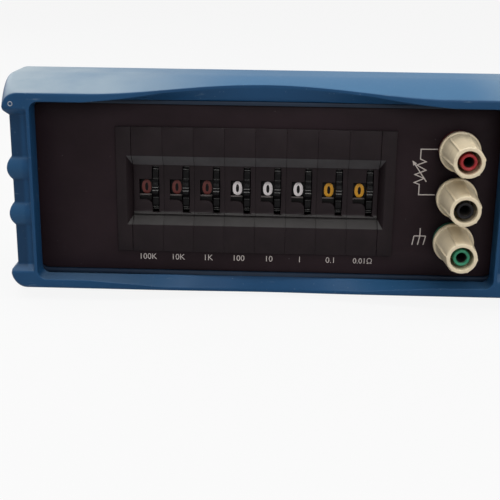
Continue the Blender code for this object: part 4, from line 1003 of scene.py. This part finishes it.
view = {  # metres, and the directions of the frame's right side, its top and the way back to the eye
    "lens": 70.55, "sensor": 36, "clip": (0.01, 20), "place": (0.00663, -0.40411, 0.14231),
    "right": (0.99927, 0.03629, 0.01173), "up": (-0.02196, 0.29609, 0.95491),
    "back": (0.03118, -0.95447, 0.29667),
}
camera = inScene("camera", bpy.data.cameras.new("camera"))
camera.data.lens, camera.data.sensor_width = view["lens"], view["sensor"]
camera.data.clip_start, camera.data.clip_end = view["clip"]
turn = Matrix([view["right"], view["up"], view["back"]]).transposed()
camera.matrix_world = Matrix.Translation(view["place"]) @ turn.to_4x4()
bpy.context.scene.camera = camera

lights = {  # soft boxes: metres, and watts
    "overhead": {"place": (0.0, -0.12, 0.95), "aim": (0, 0, 0.03), "size": (1.3, 0.8), "power": 8.5},
    "behind": {"place": (-0.95, 0.70, 0.50), "aim": (-0.10, 0, 0.09), "size": (0.9, 0.5), "power": 3.5},
    "front": {"place": (0.30, -0.95, 0.62), "aim": (0, 0, 0.04), "size": (0.6, 0.5), "power": 3.2},
}
for name, lamp in lights.items():
    data = bpy.data.lights.new(name, "AREA")
    data.shape = "RECTANGLE"
    data.size, data.size_y = lamp["size"]
    data.energy = lamp["power"]
    item = inScene(name, data)
    item.location = lamp["place"]
    towards = Vector(lamp["aim"]) - Vector(lamp["place"])
    item.rotation_euler = towards.to_track_quat("-Z", "Y").to_euler()
print("camera and lights ready")


studio = {"ambient": 0.25, "mirrorShare": 0.5}  # the sky's least strength, and its share in mirrors


def seenShare(nodes):  # one for rays from the camera, less for mirror and glass rays
    direct, mirror, glass = (nodes.add("ShaderNodeLightPath", out=f"Is {kind} Ray")
                             for kind in ("Camera", "Glossy", "Transmission"))
    return direct.work("MAXIMUM", mirror.work("MAXIMUM", glass) * studio["mirrorShare"])


ground = {"half": 6.0, "pale": 0.50, "roughness": 0.9, "whiteShare": 0.90}
floorLook = Sketch("pale floor", Roughness=ground["roughness"])
floorLook.set("Base Color", (ground["pale"],) * 3 + (1,))
white = floorLook.add("ShaderNodeEmission", values={"Color": (1, 1, 1, 1), "Strength": 1.0})
matt = Wire(floorLook, floorLook.surface.outputs[0])
share = seenShare(floorLook) * ground["whiteShare"]
mixed = floorLook.add("ShaderNodeMixShader", values={0: share, 1: matt, 2: white})
floorLook.feed(floorLook.tree.nodes["Material Output"].inputs["Surface"], mixed)
floorMesh = bpy.data.meshes.new("floor")
half = ground["half"]
corners = [(-half, -half, 0), (half, -half, 0), (half, half, 0), (-half, half, 0)]
floorMesh.from_pydata(corners, [], [(0, 1, 2, 3)])
floorMesh.materials.append(floorLook.material)
floor = inScene("floor", floorMesh)

world = bpy.data.worlds.new("studio")
bpy.context.scene.world = world
world.use_nodes = True
sky = NodeSet(world.node_tree)
strength = seenShare(sky) * (1 - studio["ambient"]) + studio["ambient"]
background = world.node_tree.nodes["Background"]
background.inputs["Color"].default_value = (1, 1, 1, 1)
sky.feed(background.inputs["Strength"], strength)
print("floor and world ready")

bpy.context.scene.view_settings.view_transform = "Standard"
